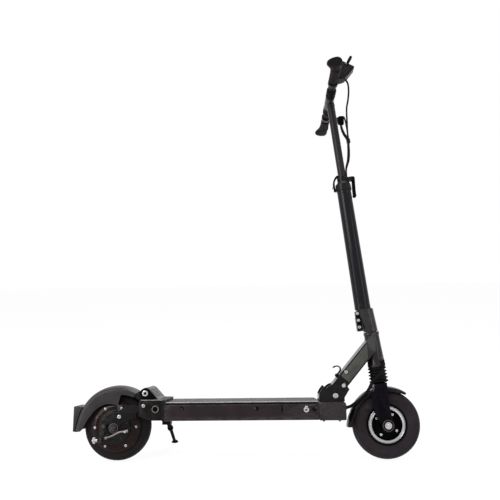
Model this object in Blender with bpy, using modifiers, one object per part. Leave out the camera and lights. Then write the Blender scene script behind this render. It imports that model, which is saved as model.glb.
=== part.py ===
"""Folding electric scooter with small wheels, built as separate pieces on their own joints.

Metres, Z up. Every piece is drawn upright: X runs forward, Y to the rider's left, and the two tyres
touch Z = 0 on the X axis. The empty called stand then leans the whole scooter over until its kickstand
is on the floor.
"""
from math import acos, asin, atan2, cos, degrees, hypot, radians, sin, tan

import bmesh
import bpy
from mathutils import Matrix, Vector

# Clearances
SEAT = 0.0003            # between pieces that rest on each other
RUN = 0.0003             # round a pin or shaft that turns
WELD = 0.00001           # points closer than this are one point

# Wheels
WHEEL_RADIUS = 0.100
WHEELBASE = 0.804
REAR_AXLE_X = -0.410
FRONT_AXLE_X = REAR_AXLE_X + WHEELBASE
FRONT_TYRE_HALF = 0.0245
FRONT_TYRE_WALL = 0.006
RIM_RADIUS = 0.0570
RIM_HALF = 0.0205
HUB_DISC_RADIUS = 0.0428
FRONT_HUB_RADIUS = 0.0190
FRONT_BOLT_CIRCLE = 0.0335
FRONT_AXLE_RADIUS = 0.0050
REAR_TYRE_HALF = 0.0250
MOTOR_RADIUS = 0.0700
MOTOR_HALF = 0.0300
COVER_FACE = 0.0385
COVER_BOLT_CIRCLE = 0.0620
DRUM_RADIUS = 0.0430
STATOR_RADIUS = 0.0575
REAR_AXLE_RADIUS = 0.0060

# Deck
DECK_REAR = -0.256
DECK_FRONT = FRONT_AXLE_X - 0.202
DECK_HALF = 0.080
DECK_BOTTOM = 0.121
DECK_TOP = 0.172
DECK_WALL = 0.003
MAT_HALF = 0.070
MAT_THICKNESS = 0.003
NOSE_FRONT = DECK_FRONT + 0.079
NOSE_TOP = 0.1692
CHARGE_X = DECK_FRONT - 0.036
CHARGE_Z = 0.151
CHARGE_RADIUS = 0.0085
CHARGE_HINGE = 0.0017
SLOT_X = DECK_FRONT - 0.106
SIDE_SCREWS_X = (DECK_REAR + 0.050, (DECK_REAR + DECK_FRONT) / 2 + 0.040, DECK_FRONT - 0.009)
SIDE_SCREWS_Z = 0.155

# Rear block and swing arm
CHEEK_IN = 0.0612
CHEEK_OUT = 0.0775
BLOCK_REAR = -0.332
BLOCK_TOP = 0.180
CORE_HALF = 0.0485
SWING_X = -0.283
SWING_Z = 0.155
ARM_IN = 0.0490
ARM_OUT = 0.0600
FENDER_HALF = 0.0435
FENDER_WALL = 0.0020
REAR_FENDER_RADIUS = 0.120
TAIL_RADIUS = 0.139

# Fold at the front of the deck
FOLD_X = DECK_FRONT + 0.052
FOLD_Z = 0.186
FOLD_BOLT_RADIUS = 0.0050
BRACKET_IN = 0.0365
BRACKET_PLATE = 0.0050
NECK_HALF = 0.0355
NECK_WALL = 0.0055
NECK_ANGLE = 49.7
NECK_LOW = -0.0115
NECK_HIGH = 0.0265
LOCK_REACH = 0.0385
LOCK_PIN_RADIUS = 0.0040
LOCK_TRAVEL = 0.0060
FOLD_ANGLE = 83.3
RELEASE_S = 0.0500
RELEASE_T = 0.0305

# Steering, measured along its own axis from the front axle
STEER_TILT = 6.7
HEAD_LOW = 0.1690
HEAD_HIGH = 0.2720
HEAD_RADIUS_LOW = 0.0255
HEAD_RADIUS_HIGH = 0.0225
STEERER_RADIUS = 0.0160
STEERER_WALL = 0.0025
STEERER_LOW = 0.1500
STEERER_HIGH = 0.3380
CLAMP_LOW = 0.2745
CLAMP_HIGH = 0.3450
CLAMP_BOLTS = (0.289, 0.303, 0.317)
COLUMN_OFFSET = -0.0135
COLUMN_RADIUS_LOW = 0.0245
COLUMN_RADIUS_HIGH = 0.0220
COLUMN_WALL = 0.0025
COLUMN_HIGH = 0.7380
COLLAR_HIGH = 0.7680
LATCH_PIVOT = (-0.0414, 0.7275)
QUICK_PIVOT = (0.0200, 0.7590)
MAST_OFFSET = -0.0120
MAST_RADIUS = 0.0125
MAST_WALL = 0.0020
MAST_LOW = 0.6000
BAR_OFFSET = -0.0145
BAR_HEIGHT = 1.0260

# Fork
CROWN_LOW = 0.1110
CROWN_HIGH = 0.1210
LEG_IN = 0.0340
LEG_THICKNESS = 0.0110
LEG_REAR = -0.0220
LEG_FRONT = 0.0190
STANCHION_RADIUS = 0.0131
STANCHION_HIGH = 0.2600
BELLOWS_RADIUS = 0.0285
BELLOWS_BORE = 0.0185
BELLOWS_ROOT = 0.0240
BELLOWS_RIBS = 6
FRONT_FENDER_WALL = 0.0022

# Handlebar, out from the centre line
CENTRE_HALF = 0.0457
CENTRE_RADIUS = 0.0145
BAR_PIVOT = 0.0600
BAR_RADIUS = 0.0110
BAR_HALF = 0.2850
SLEEVE_RADIUS = 0.0150
SLEEVE_LENGTH = 0.0520
GRIP_START = 0.1655
SCREEN_FOOT = (0.0100, 0.0200)
SCREEN_TOP = (0.0290, 0.0550)
TRIGGER_PIVOT = (0.0455, 0.0405)
BRAKE_TILT = 23
BRAKE_PIVOT = (0.0490, 0.0810)
CABLE_RADIUS = 0.0019
HARNESS_RADIUS = 0.0045

# Kickstand
KICK_PIVOT = (-0.272, 0.062, 0.112)
KICK_LENGTH = 0.137
KICK_DOWN = (0.045, 0.787, -0.616)
KICK_FOLDED = (-0.96, 0.22, -0.17)
KICK_FOOT_RADIUS = 0.0110
TYRE_CROWN_RADIUS = 0.0300

PARTS = None


def clear_scene():
    for thing in list(bpy.data.objects):
        bpy.data.objects.remove(thing, do_unlink=True)


def new_collection(name):
    found = bpy.data.collections.new(name)
    bpy.context.scene.collection.children.link(found)
    return found


def material(name, colour, roughness, metallic=0.0):
    found = bpy.data.materials.new(name)
    found.use_nodes = True
    shader = found.node_tree.nodes["Principled BSDF"]
    shader.inputs["Base Color"].default_value = (*colour, 1.0)
    shader.inputs["Roughness"].default_value = roughness
    shader.inputs["Metallic"].default_value = metallic
    return found


def frame(name, parent, matrix):
    """An empty placed by its matrix in the upright scooter's own space."""
    empty = bpy.data.objects.new(name, None)
    empty.empty_display_size = 0.03
    PARTS.objects.link(empty)
    empty["upright"] = [value for row in matrix for value in row]
    if parent is not None:
        empty.parent = parent
        matrix = upright(parent).inverted() @ matrix
    empty.matrix_basis = matrix
    return empty


def upright(empty):
    values = list(empty["upright"])
    return Matrix([values[row * 4:row * 4 + 4] for row in range(4)])


def at(x, y, z):
    return Matrix.Translation((x, y, z))


def turn(angle, axis):
    return Matrix.Rotation(radians(angle), 4, axis)


# Shapes. Each is a loose mesh object that joins, cuts or becomes a piece

def shape(bm):
    mesh = bpy.data.meshes.new("shape")
    bm.to_mesh(mesh)
    bm.free()
    found = bpy.data.objects.new("shape", mesh)
    bpy.context.scene.collection.objects.link(found)
    return found


def bake(found):
    """Swap an object's curve or modifiers for the mesh that they make."""
    graph = bpy.context.evaluated_depsgraph_get()
    mesh = bpy.data.meshes.new_from_object(found.evaluated_get(graph))
    bm = bmesh.new()
    bm.from_mesh(mesh)
    bmesh.ops.remove_doubles(bm, verts=bm.verts, dist=WELD)
    bmesh.ops.recalc_face_normals(bm, faces=bm.faces)
    bpy.data.objects.remove(found, do_unlink=True)
    bpy.data.meshes.remove(mesh)
    return shape(bm)


def moved(found, matrix):
    found.data.transform(matrix)
    if matrix.determinant() < 0:
        found.data.flip_normals()
    return found


def boolean(base, tool, operation):
    change = base.modifiers.new("boolean", "BOOLEAN")
    change.operation = operation
    change.solver = "EXACT"
    change.object = tool
    done = bake(base)
    bpy.data.objects.remove(tool, do_unlink=True)
    return done


def join(base, *tools):
    for tool in tools:
        base = boolean(base, tool, "UNION")
    return base


def cut(base, *tools):
    for tool in tools:
        base = boolean(base, tool, "DIFFERENCE")
    return base


def bevelled(found, width, segments=1, angle=40):
    change = found.modifiers.new("bevel", "BEVEL")
    change.width = width
    change.segments = segments
    change.limit_method = "ANGLE"
    change.angle_limit = radians(angle)
    return bake(found)


def box(x, y, z):
    """A box from its low and high value along each axis."""
    bm = bmesh.new()
    bmesh.ops.create_cube(bm, size=1.0)
    size = Vector((x[1] - x[0], y[1] - y[0], z[1] - z[0]))
    middle = Vector((x[0] + x[1], y[0] + y[1], z[0] + z[1])) / 2
    bmesh.ops.scale(bm, vec=size, verts=bm.verts)
    bmesh.ops.translate(bm, vec=middle, verts=bm.verts)
    return shape(bm)


def rod(start, end, radius, end_radius=None, segments=12):
    """A round bar or a cone between two points."""
    start = Vector(start)
    end = Vector(end)
    line = end - start
    bm = bmesh.new()
    bmesh.ops.create_cone(
        bm,
        cap_ends=True,
        segments=segments,
        radius1=radius,
        radius2=radius if end_radius is None else end_radius,
        depth=line.length,
        matrix=Matrix.Translation((start + end) / 2) @ line.to_track_quat("Z", "Y").to_matrix().to_4x4(),
    )
    return shape(bm)


def turned(profile, steps, closed=True, axis="Z", angle=360, centre=(0, 0, 0)):
    """A profile of (radius, height) points, from the top down its outer side, screwed round an axis."""
    mesh = bpy.data.meshes.new("profile")
    count = len(profile)
    edges = [(i, i + 1) for i in range(count - 1)]
    if closed:
        edges.append((count - 1, 0))
    mesh.from_pydata([(radius, 0, height) for radius, height in profile], edges, [])
    found = bpy.data.objects.new("profile", mesh)
    bpy.context.scene.collection.objects.link(found)
    screw = found.modifiers.new("screw", "SCREW")
    screw.angle = radians(angle)
    screw.steps = steps
    screw.render_steps = steps
    screw.use_merge_vertices = True
    screw.merge_threshold = WELD
    found = bake(found)
    if axis == "Y":
        found.data.transform(turn(-90, "X"))
    found.data.transform(Matrix.Translation(centre))
    return found


def ring(outer, inner, low, high, steps=22, axis="Z", centre=(0, 0, 0)):
    profile = [(outer, high), (outer, low), (inner, low), (inner, high)]
    return turned(profile, steps, axis=axis, centre=centre)


def plate(outline, low, high, holes=(), axis="Y"):
    """A flat outline, with holes, between two values along an axis. Along Y its points are (x, z)."""
    curve = bpy.data.curves.new("outline", "CURVE")
    curve.dimensions = "2D"
    curve.fill_mode = "BOTH"
    curve.extrude = (high - low) / 2
    for points in (outline, *holes):
        spline = curve.splines.new("POLY")
        spline.points.add(len(points) - 1)
        for point, (across, up) in zip(spline.points, points):
            point.co = (across, up, 0, 1)
        spline.use_cyclic_u = True
    found = bpy.data.objects.new("outline", curve)
    bpy.context.scene.collection.objects.link(found)
    found = bake(found)
    middle = (low + high) / 2
    if axis == "Y":
        found.data.transform(Matrix.Translation((0, middle, 0)) @ turn(90, "X"))
    elif axis == "X":
        found.data.transform(Matrix.Translation((middle, 0, 0)) @ turn(90, "Z") @ turn(90, "X"))
    else:
        found.data.transform(Matrix.Translation((0, 0, middle)))
    return found


def arc(centre, radius, start, end, steps):
    points = []
    for i in range(steps + 1):
        angle = radians(start + (end - start) * i / steps)
        points.append((centre[0] + radius * cos(angle), centre[1] + radius * sin(angle)))
    return points


def circle(centre, radius, steps=12):
    return arc(centre, radius, 0, 360, steps)[:-1]


def rounded(corners, steps=3):
    """An outline of (x, z, radius) corners, each drawn as an arc of that radius."""
    points = []
    count = len(corners)
    for i, (x, z, radius) in enumerate(corners):
        here = Vector((x, z))
        if radius <= 0:
            points.append((x, z))
            continue
        before = Vector(corners[i - 1][:2]) - here
        after = Vector(corners[(i + 1) % count][:2]) - here
        half = before.angle(after) / 2
        reach = min(radius / tan(half), 0.49 * before.length, 0.49 * after.length)
        radius = reach * tan(half)
        middle = here + (before.normalized() + after.normalized()).normalized() * (radius / sin(half))
        first = here + before.normalized() * reach - middle
        last = here + after.normalized() * reach - middle
        sweep = first.angle_signed(last)
        for k in range(steps + 1):
            spoke = first.copy()
            spoke.rotate(Matrix.Rotation(-sweep * k / steps, 2))
            points.append(tuple(middle + spoke))
    return points


def strip(path, thickness):
    """The outline of a bent strip of even thickness along a path of (x, z) points."""
    left = []
    right = []
    for i, point in enumerate(path):
        before = Vector(path[max(i - 1, 0)])
        after = Vector(path[min(i + 1, len(path) - 1)])
        way = (after - before).normalized()
        side = Vector((-way.y, way.x)) * thickness / 2
        left.append(tuple(Vector(point) + side))
        right.append(tuple(Vector(point) - side))
    return left + right[::-1]


def smooth_path(points, spacing):
    """Points at an even spacing along a smooth line through the given ones."""
    points = [Vector(point) for point in points]
    ends = [2 * points[0] - points[1]] + points + [2 * points[-1] - points[-2]]
    fine = []
    for i in range(1, len(ends) - 2):
        a, b, c, d = ends[i - 1:i + 3]
        for k in range(24):
            t = k / 24
            fine.append(0.5 * (2 * b + (c - a) * t + (2 * a - 5 * b + 4 * c - d) * t * t
                               + (3 * b - 3 * c + d - a) * t ** 3))
    fine.append(points[-1])
    length = sum((q - p).length for p, q in zip(fine, fine[1:]))
    count = max(2, round(length / spacing))
    even = [fine[0]]
    walked = 0.0
    for p, q in zip(fine, fine[1:]):
        step = (q - p).length
        while step > 0 and walked + step >= length * len(even) / count and len(even) < count:
            even.append(p.lerp(q, (length * len(even) / count - walked) / step))
        walked += step
    return even + [points[-1]]


def tube(points, radius, resolution=2):
    """A round cord or tube along points, with closed ends."""
    curve = bpy.data.curves.new("tube", "CURVE")
    curve.dimensions = "3D"
    curve.bevel_depth = radius
    curve.bevel_resolution = resolution
    curve.use_fill_caps = True
    spline = curve.splines.new("POLY")
    spline.points.add(len(points) - 1)
    for point, place in zip(spline.points, points):
        point.co = (*place, 1)
    found = bpy.data.objects.new("tube", curve)
    bpy.context.scene.collection.objects.link(found)
    return bake(found)


def screw_head(place, way, radius, height, socket=True):
    """A round head on a surface, with a hexagon socket, standing along a direction."""
    place = Vector(place)
    way = Vector(way).normalized()
    head = rod(place, place + way * height, radius, segments=10)
    if socket:
        head = cut(head, rod(place + way * height * 0.4, place + way * height * 2, radius * 0.5, segments=6))
    return head


def fixed_head(place, way, radius, height):
    """A screw's round head that stands a little inside the surface, to be joined with its piece."""
    place = Vector(place)
    way = Vector(way).normalized()
    return rod(place - way * 0.0006, place + way * height, radius, segments=6)


def piece(name, parent, finish, found):
    """Make a finished shape one of the scooter's named pieces."""
    bm = bmesh.new()
    bm.from_mesh(found.data)
    bpy.data.objects.remove(found, do_unlink=True)
    bmesh.ops.dissolve_degenerate(bm, dist=WELD, edges=bm.edges)
    mesh = bpy.data.meshes.new(name)
    bm.to_mesh(mesh)
    bm.free()
    mesh.shade_smooth()
    mesh.set_sharp_from_angle(angle=radians(35))
    mesh.materials.append(finish)
    found = bpy.data.objects.new(name, mesh)
    PARTS.objects.link(found)
    found.parent = parent
    return found


# Deck and what is fixed to it

def build_deck(deck, finish):
    side = rounded([
        (-DECK_HALF, DECK_BOTTOM, 0.004), (DECK_HALF, DECK_BOTTOM, 0.004),
        (DECK_HALF, DECK_TOP, 0.006), (-DECK_HALF, DECK_TOP, 0.006),
    ])
    half = DECK_HALF - DECK_WALL
    low = DECK_BOTTOM + DECK_WALL
    high = DECK_TOP - DECK_WALL
    inner = [(-half, low), (half, low), (half, high), (-half, high)]
    body = plate(side, DECK_REAR, DECK_FRONT, holes=(inner,), axis="X")
    heads = [fixed_head((x, way * DECK_HALF, SIDE_SCREWS_Z), (0, way, 0), 0.0038, 0.0014)
             for way in (-1, 1) for x in SIDE_SCREWS_X]
    slot = box((SLOT_X - 0.0015, SLOT_X + 0.0015), (-DECK_HALF - 0.01, -DECK_HALF + 0.01), (0.143, 0.163))
    port = rod((CHARGE_X, -DECK_HALF - 0.01, CHARGE_Z), (CHARGE_X, -DECK_HALF + 0.01, CHARGE_Z), 0.0070)
    piece("deck_frame", deck, finish["deck"], cut(join(body, *heads), slot, port))

    mat = rounded([
        (DECK_REAR + 0.004, -MAT_HALF, 0.008), (DECK_FRONT - 0.005, -MAT_HALF, 0.008),
        (DECK_FRONT - 0.005, MAT_HALF, 0.008), (DECK_REAR + 0.004, MAT_HALF, 0.008),
    ])
    low = DECK_TOP + SEAT
    piece("grip_mat", deck, finish["mat"], plate(mat, low, low + MAT_THICKNESS, axis="Z"))

    floor = DECK_BOTTOM + DECK_WALL + SEAT
    battery = box((DECK_REAR + 0.045, DECK_FRONT - 0.122), (-0.066, 0.066), (floor, floor + 0.037))
    battery = bevelled(battery, 0.003)
    controller = box((DECK_FRONT - 0.104, DECK_FRONT - 0.042), (-0.040, 0.040), (floor, floor + 0.026))
    controller = bevelled(controller, 0.002)
    fins = []
    for i in range(6):
        start = DECK_FRONT - 0.100 + 0.009 * i
        fins.append(box((start, start + 0.004), (-0.036, 0.036), (floor + 0.020, floor + 0.031)))
    piece("battery_pack", deck, finish["battery"], battery)
    piece("motor_controller", deck, finish["casting"], join(controller, *fins))


def build_nose(deck, finish):
    """The casting that closes the deck's front end and carries the fold."""
    skin = box((DECK_FRONT + SEAT, NOSE_FRONT), (-DECK_HALF - 0.0003, DECK_HALF + 0.0003), (0.1195, NOSE_TOP))
    body = bevelled(skin, 0.004, 2)
    inside = DECK_HALF - DECK_WALL - SEAT
    floor = DECK_BOTTOM + DECK_WALL + SEAT
    top = DECK_TOP - DECK_WALL - SEAT
    spigot = box((DECK_FRONT - 0.030, DECK_FRONT + 0.006), (-inside, inside), (floor, top))
    spigot = cut(spigot, box((DECK_FRONT - 0.04, DECK_FRONT + 0.02), (-inside + 0.004, inside - 0.004),
                             (floor + 0.004, top - 0.0042)))
    heads = [fixed_head((x, way * 0.055, 0.1195), (0, 0, -1), 0.0042, 0.0030)
             for way in (-1, 1) for x in (DECK_FRONT + 0.015, NOSE_FRONT - 0.018)]
    body = join(body, spigot, *heads)
    pocket = box((DECK_FRONT - 0.05, NOSE_FRONT - 0.007), (-0.066, 0.066), (floor + 0.004, NOSE_TOP - 0.007))
    lead = rod((NOSE_FRONT - 0.02, -0.030, 0.150), (NOSE_FRONT + 0.01, -0.030, 0.150), HARNESS_RADIUS + 0.001)
    piece("front_casting", deck, finish["casting"], cut(body, pocket, lead))


def bracket_outline():
    start = degrees(asin((LOCK_PIN_RADIUS + 0.0006) / LOCK_REACH))
    front = NECK_ANGLE - start
    rear = NECK_ANGLE + FOLD_ANGLE + start
    reach = LOCK_REACH - LOCK_PIN_RADIUS - 0.0005
    track = arc((FOLD_X, FOLD_Z), reach, front, rear, 10)
    horn = (FOLD_X + 0.046 * cos(radians(front)), FOLD_Z + 0.046 * sin(radians(front)))
    tail = (FOLD_X + 0.043 * cos(radians(rear)), FOLD_Z + 0.043 * sin(radians(rear)))
    foot = NOSE_TOP + SEAT
    rear_edge = FOLD_X - 0.048
    return [(NOSE_FRONT, foot), (NOSE_FRONT, FOLD_Z - 0.005), (FOLD_X + 0.042, FOLD_Z + 0.018), horn, *track, tail,
            (FOLD_X - 0.0425, FOLD_Z + 0.0155), (rear_edge, FOLD_Z + 0.005), (rear_edge, foot)]


def build_bracket(deck, finish):
    outer = BRACKET_IN + BRACKET_PLATE
    foot = NOSE_TOP + SEAT
    hole = circle((FOLD_X, FOLD_Z), FOLD_BOLT_RADIUS + RUN)
    base = box((FOLD_X - 0.048, NOSE_FRONT), (-outer, outer), (foot, foot + 0.004))
    web = box((FOLD_X - 0.048, FOLD_X - 0.0435), (-outer, outer), (foot, FOLD_Z + 0.004))
    outline = bracket_outline()
    cheeks = [plate(outline, low, low + BRACKET_PLATE, holes=(hole,)) for low in (-outer, BRACKET_IN)]
    piece("fold_bracket", deck, finish["steel_black"], join(base, web, *cheeks))

    reach = outer + SEAT + 0.001
    bolt = rod((FOLD_X, -reach, FOLD_Z), (FOLD_X, reach, FOLD_Z), FOLD_BOLT_RADIUS)
    head = screw_head((FOLD_X, -outer - SEAT, FOLD_Z), (0, -1, 0), 0.0080, 0.0040)
    nut = rod((FOLD_X, outer + SEAT, FOLD_Z), (FOLD_X, outer + SEAT + 0.005, FOLD_Z), 0.0085, segments=6)
    piece("fold_pivot_bolt", deck, finish["bright"], join(bolt, head, nut))


def kick_frame():
    """The kickstand's own space: X down the leg, Z along its pin."""
    down = Vector(KICK_DOWN).normalized()
    pin = down.cross(Vector(KICK_FOLDED)).normalized()
    side = pin.cross(down)
    turned_axes = Matrix((down, side, pin)).transposed().to_4x4()
    return Matrix.Translation(KICK_PIVOT) @ turned_axes


def kick_foot():
    return Vector(KICK_PIVOT) + Vector(KICK_DOWN).normalized() * KICK_LENGTH


def lean_angle():
    """How far the scooter leans until both tyres and the kickstand's foot meet the floor, in degrees."""
    foot = kick_foot()
    across = foot.y
    up = TYRE_CROWN_RADIUS - foot.z
    return degrees(asin(TYRE_CROWN_RADIUS / hypot(across, up)) - atan2(up, across))


def build_rear_block(deck, finish):
    """The casting behind the deck: two cheeks, a core for the swing arm's tube and the kickstand's lug."""
    wall = box((-0.2640, DECK_REAR - SEAT), (-0.0785, 0.0785), (DECK_BOTTOM, BLOCK_TOP))
    top = box((BLOCK_REAR + 0.002, -0.260), (-CHEEK_OUT, CHEEK_OUT), (0.1745, BLOCK_TOP))
    core = box((-0.300, -0.260), (-CORE_HALF, CORE_HALF), (DECK_BOTTOM + 0.0015, 0.176))
    cheek = rounded([(-0.260, 0.1225, 0), (-0.260, BLOCK_TOP, 0), (BLOCK_REAR, BLOCK_TOP, 0.005),
                     (BLOCK_REAR, 0.134, 0.010), (-0.300, 0.1225, 0.012)])
    bolt_hole = circle((SWING_X, SWING_Z), REAR_AXLE_RADIUS + RUN)
    thick = CHEEK_OUT - CHEEK_IN
    cheeks = [plate(cheek, low, low + thick, holes=(bolt_hole,)) for low in (-CHEEK_OUT, CHEEK_IN)]
    inside = DECK_HALF - DECK_WALL - SEAT
    floor = DECK_BOTTOM + DECK_WALL + SEAT
    spigot = box((-0.258, DECK_REAR + 0.020), (-inside, inside), (floor, DECK_TOP - DECK_WALL - SEAT))
    spigot = cut(spigot, box((-0.2555, DECK_REAR + 0.03), (-inside + 0.004, inside - 0.004),
                             (floor + 0.004, DECK_TOP - DECK_WALL - 0.0045)))
    x, y, z = KICK_PIVOT
    lug = box((x - 0.0135, x + 0.0125), (y - 0.017, y + 0.0125), (z - 0.0150, z + 0.020))
    heads = [fixed_head((-0.318, way * CHEEK_OUT, 0.165), (0, way, 0), 0.0048, 0.0030) for way in (-1, 1)]
    body = join(wall, top, core, *cheeks, spigot, lug, *heads)
    room = kick_frame()
    sweep = [(0, -0.0100), (0.060, -0.0100), (0.060, 0.060), (-0.0100, 0.060), (-0.0100, 0)]
    around = rod((0, 0, -0.0087), (0, 0, 0.0087), 0.0104)
    slot = moved(join(plate(sweep, -0.0087, 0.0087, axis="Z"), around), room)
    slot = cut(slot, box((-0.4, -0.2), (0, 0.2), (BLOCK_TOP - 0.0545, 0.4)))
    pin = moved(rod((0, 0, -0.05), (0, 0, 0.0145), 0.0035 + RUN), room)
    across = CORE_HALF + 0.0004
    tube_hole = rod((SWING_X, -across, SWING_Z), (SWING_X, across, SWING_Z), 0.0105 + RUN, segments=20)
    body = cut(body, slot, pin, tube_hole)
    lead_y = -0.0690
    lead = rod((BLOCK_REAR - 0.01, lead_y, 0.1500), (BLOCK_REAR + 0.030, lead_y, 0.1500), CABLE_RADIUS + 0.0012)
    piece("rear_block", deck, finish["casting"], cut(body, lead))

    buffer = bevelled(box((-0.3160, -0.3008), (-ARM_OUT, ARM_OUT), (0.1668, 0.1742)), 0.001)
    piece("rear_buffer", deck, finish["rubber"], buffer)

    side = CHEEK_OUT + SEAT
    bolt = rod((SWING_X, -side - 0.001, SWING_Z), (SWING_X, side + 0.001, SWING_Z), REAR_AXLE_RADIUS)
    heads = [screw_head((SWING_X, way * side, SWING_Z), (0, way, 0), 0.0095, 0.0035) for way in (-1, 1)]
    piece("swing_pivot_bolt", deck, finish["bright"], join(bolt, *heads))


def build_footrest(deck, finish):
    """The ribbed pad above the rear block, sloping up towards the wheel."""
    outline = rounded([(-0.2660, BLOCK_TOP + SEAT, 0), (-0.2720, 0.188, 0.004), (-0.3000, 0.2185, 0.010),
                       (-0.3150, 0.2215, 0.008), (-0.3260, 0.2160, 0.006), (-0.3370, 0.2040, 0.004),
                       (-0.3290, BLOCK_TOP + SEAT, 0)])
    body = plate(outline, -0.058, 0.058)
    hollow = [(-0.2800, BLOCK_TOP - 0.01), (-0.2840, 0.190), (-0.3000, 0.2080), (-0.3150, 0.2120),
              (-0.3240, 0.2060), (-0.3220, BLOCK_TOP - 0.01)]
    body = cut(body, plate(hollow, -0.0530, 0.0530))
    slope = Vector((-0.3000 + 0.2720, 0.2185 - 0.188))
    ribs = []
    for i in range(5):
        foot = Vector((-0.2745, 0.1905)) + slope * (0.02 + 0.185 * i)
        tilt = at(foot.x, 0, foot.y) @ turn(-degrees(atan2(slope.y, -slope.x)) + 180, "Y")
        ribs.append(moved(box((-0.0015, 0.0015), (-0.050, 0.050), (-0.0025, 0.0032)), tilt @ turn(180, "X")))
    heads = [fixed_head((-0.324, way * 0.058, 0.199), (0, way, 0), 0.0072, 0.0045) for way in (-1, 1)]
    piece("footrest_pad", deck, finish["footrest"], join(body, *ribs, *heads))


def build_kickstand(pivot, finish):
    """The leg lies along its pivot's X, its pin along Z."""
    barrel = rod((0, 0, -0.0080), (0, 0, 0.0080), 0.0088)
    pin = rod((0, 0, -0.0140), (0, 0, 0.0140), 0.0035)
    thick = rod((0, 0, 0), (0.048, 0, 0), 0.0075, 0.0070)
    joint = rod((0.044, 0, 0), (0.056, 0, 0), 0.0092)
    foot = upright(pivot).inverted() @ kick_foot()
    lean = radians(lean_angle())
    floor_up = upright(pivot).inverted().to_3x3() @ Vector((0, -sin(lean), cos(lean)))
    leg = rod((0.050, 0, 0), foot + floor_up * 0.0048, 0.0052)
    sole = rod(foot, foot + floor_up * 0.006, KICK_FOOT_RADIUS, KICK_FOOT_RADIUS * 0.8)
    piece("kickstand", pivot, finish["steel_black"], join(barrel, pin, thick, joint, leg, sole))


def build_charge_cap(pivot, finish):
    """The round cap over the charging socket. Its frame sits on the hinge at the cap's top."""
    drop = -CHARGE_RADIUS - 0.0005
    back = CHARGE_HINGE - SEAT
    cap = rod((0, back, drop), (0, back - 0.0028, drop), CHARGE_RADIUS, CHARGE_RADIUS - 0.0008, 24)
    hinge = rod((-0.0040, 0, 0), (0.0040, 0, 0), 0.0014, segments=10)
    ear = box((-0.0035, 0.0035), (back - 0.0026, back), (-0.0020, 0.0))
    plug = rod((0, back - 0.001, drop), (0, CHARGE_HINGE + 0.0018, drop), 0.0052)
    piece("charge_cap", pivot, finish["bright"], join(cap, ear, hinge, plug))


# Swing arm, drum brake and rear wheel

def arm_outline():
    return rounded([
        (SWING_X + 0.0150, SWING_Z + 0.0150, 0.0149), (-0.3330, 0.1600, 0.02), (-0.3500, 0.1665, 0.01),
        (-0.3740, 0.1660, 0.012), (-0.4010, 0.1420, 0.03), (REAR_AXLE_X - 0.0215, WHEEL_RADIUS, 0.0160),
        (REAR_AXLE_X, WHEEL_RADIUS - 0.0215, 0.0140), (-0.3900, 0.1120, 0.02), (-0.3510, 0.1280, 0.01),
        (-0.3280, 0.1360, 0.01), (SWING_X + 0.0150, SWING_Z - 0.0150, 0.0149),
    ], steps=3)


def build_swingarm(swing, finish):
    to_swing = at(-SWING_X, 0, -SWING_Z)
    axle_hole = circle((REAR_AXLE_X, WHEEL_RADIUS), REAR_AXLE_RADIUS + RUN)
    arms = [plate(arm_outline(), low, low + ARM_OUT - ARM_IN, holes=(axle_hole,)) for low in (-ARM_OUT, ARM_IN)]
    across = ARM_IN + 0.002
    cross = rod((SWING_X, -across, SWING_Z), (SWING_X, across, SWING_Z), 0.0105, segments=20)
    heads = []
    for way in (-1, 1):
        place = (REAR_AXLE_X + 0.017, way * ARM_OUT, WHEEL_RADIUS + 0.033)
        heads.append(fixed_head(place, (0, way, 0), 0.0055, 0.0040))
    body = join(arms[0], cross, arms[1], *heads)
    bore = rod((SWING_X, -0.09, SWING_Z), (SWING_X, 0.09, SWING_Z), REAR_AXLE_RADIUS + RUN)
    piece("swingarm", swing, finish["casting"], moved(cut(body, bore), to_swing))


def fender_section(radius, skirt, half):
    """Half a mudguard's section, from the skirt's edge up to the crown: (out from the middle, radius)."""
    drop = radius - skirt
    return [(half, skirt), (half, radius - min(0.016, 0.6 * drop)), (half * 0.86, radius - 0.0055),
            (half * 0.52, radius - 0.0010), (0.0, radius)]


def lofted_shell(stations, wall):
    """A mudguard: sections of (angle, half section) round the Y axis, skinned and given its wall."""
    bm = bmesh.new()
    rows = []
    for angle, half in stations:
        turned_way = (cos(radians(angle)), sin(radians(angle)))
        section = [(-y, r) for y, r in half] + [(y, r) for y, r in half[-2::-1]]
        rows.append([bm.verts.new((turned_way[0] * r, y, turned_way[1] * r)) for y, r in section])
    for before, after in zip(rows, rows[1:]):
        for i in range(len(before) - 1):
            bm.faces.new((before[i], before[i + 1], after[i + 1], after[i]))
    bmesh.ops.recalc_face_normals(bm, faces=bm.faces)
    crown = rows[0][len(rows[0]) // 2]
    out = crown.co.normalized()
    if crown.link_faces[0].normal.dot(out) < 0:
        bmesh.ops.reverse_faces(bm, faces=bm.faces)
    found = shape(bm)
    solid = found.modifiers.new("wall", "SOLIDIFY")
    solid.thickness = wall
    solid.offset = -1
    solid.use_even_offset = True
    return bake(found)


def along(stations, angle):
    """A value read between (angle, value) stations."""
    for (a, low), (b, high) in zip(stations, stations[1:]):
        if a <= angle <= b:
            return low + (high - low) * (angle - a) / (b - a)
    return stations[-1][1]


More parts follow.
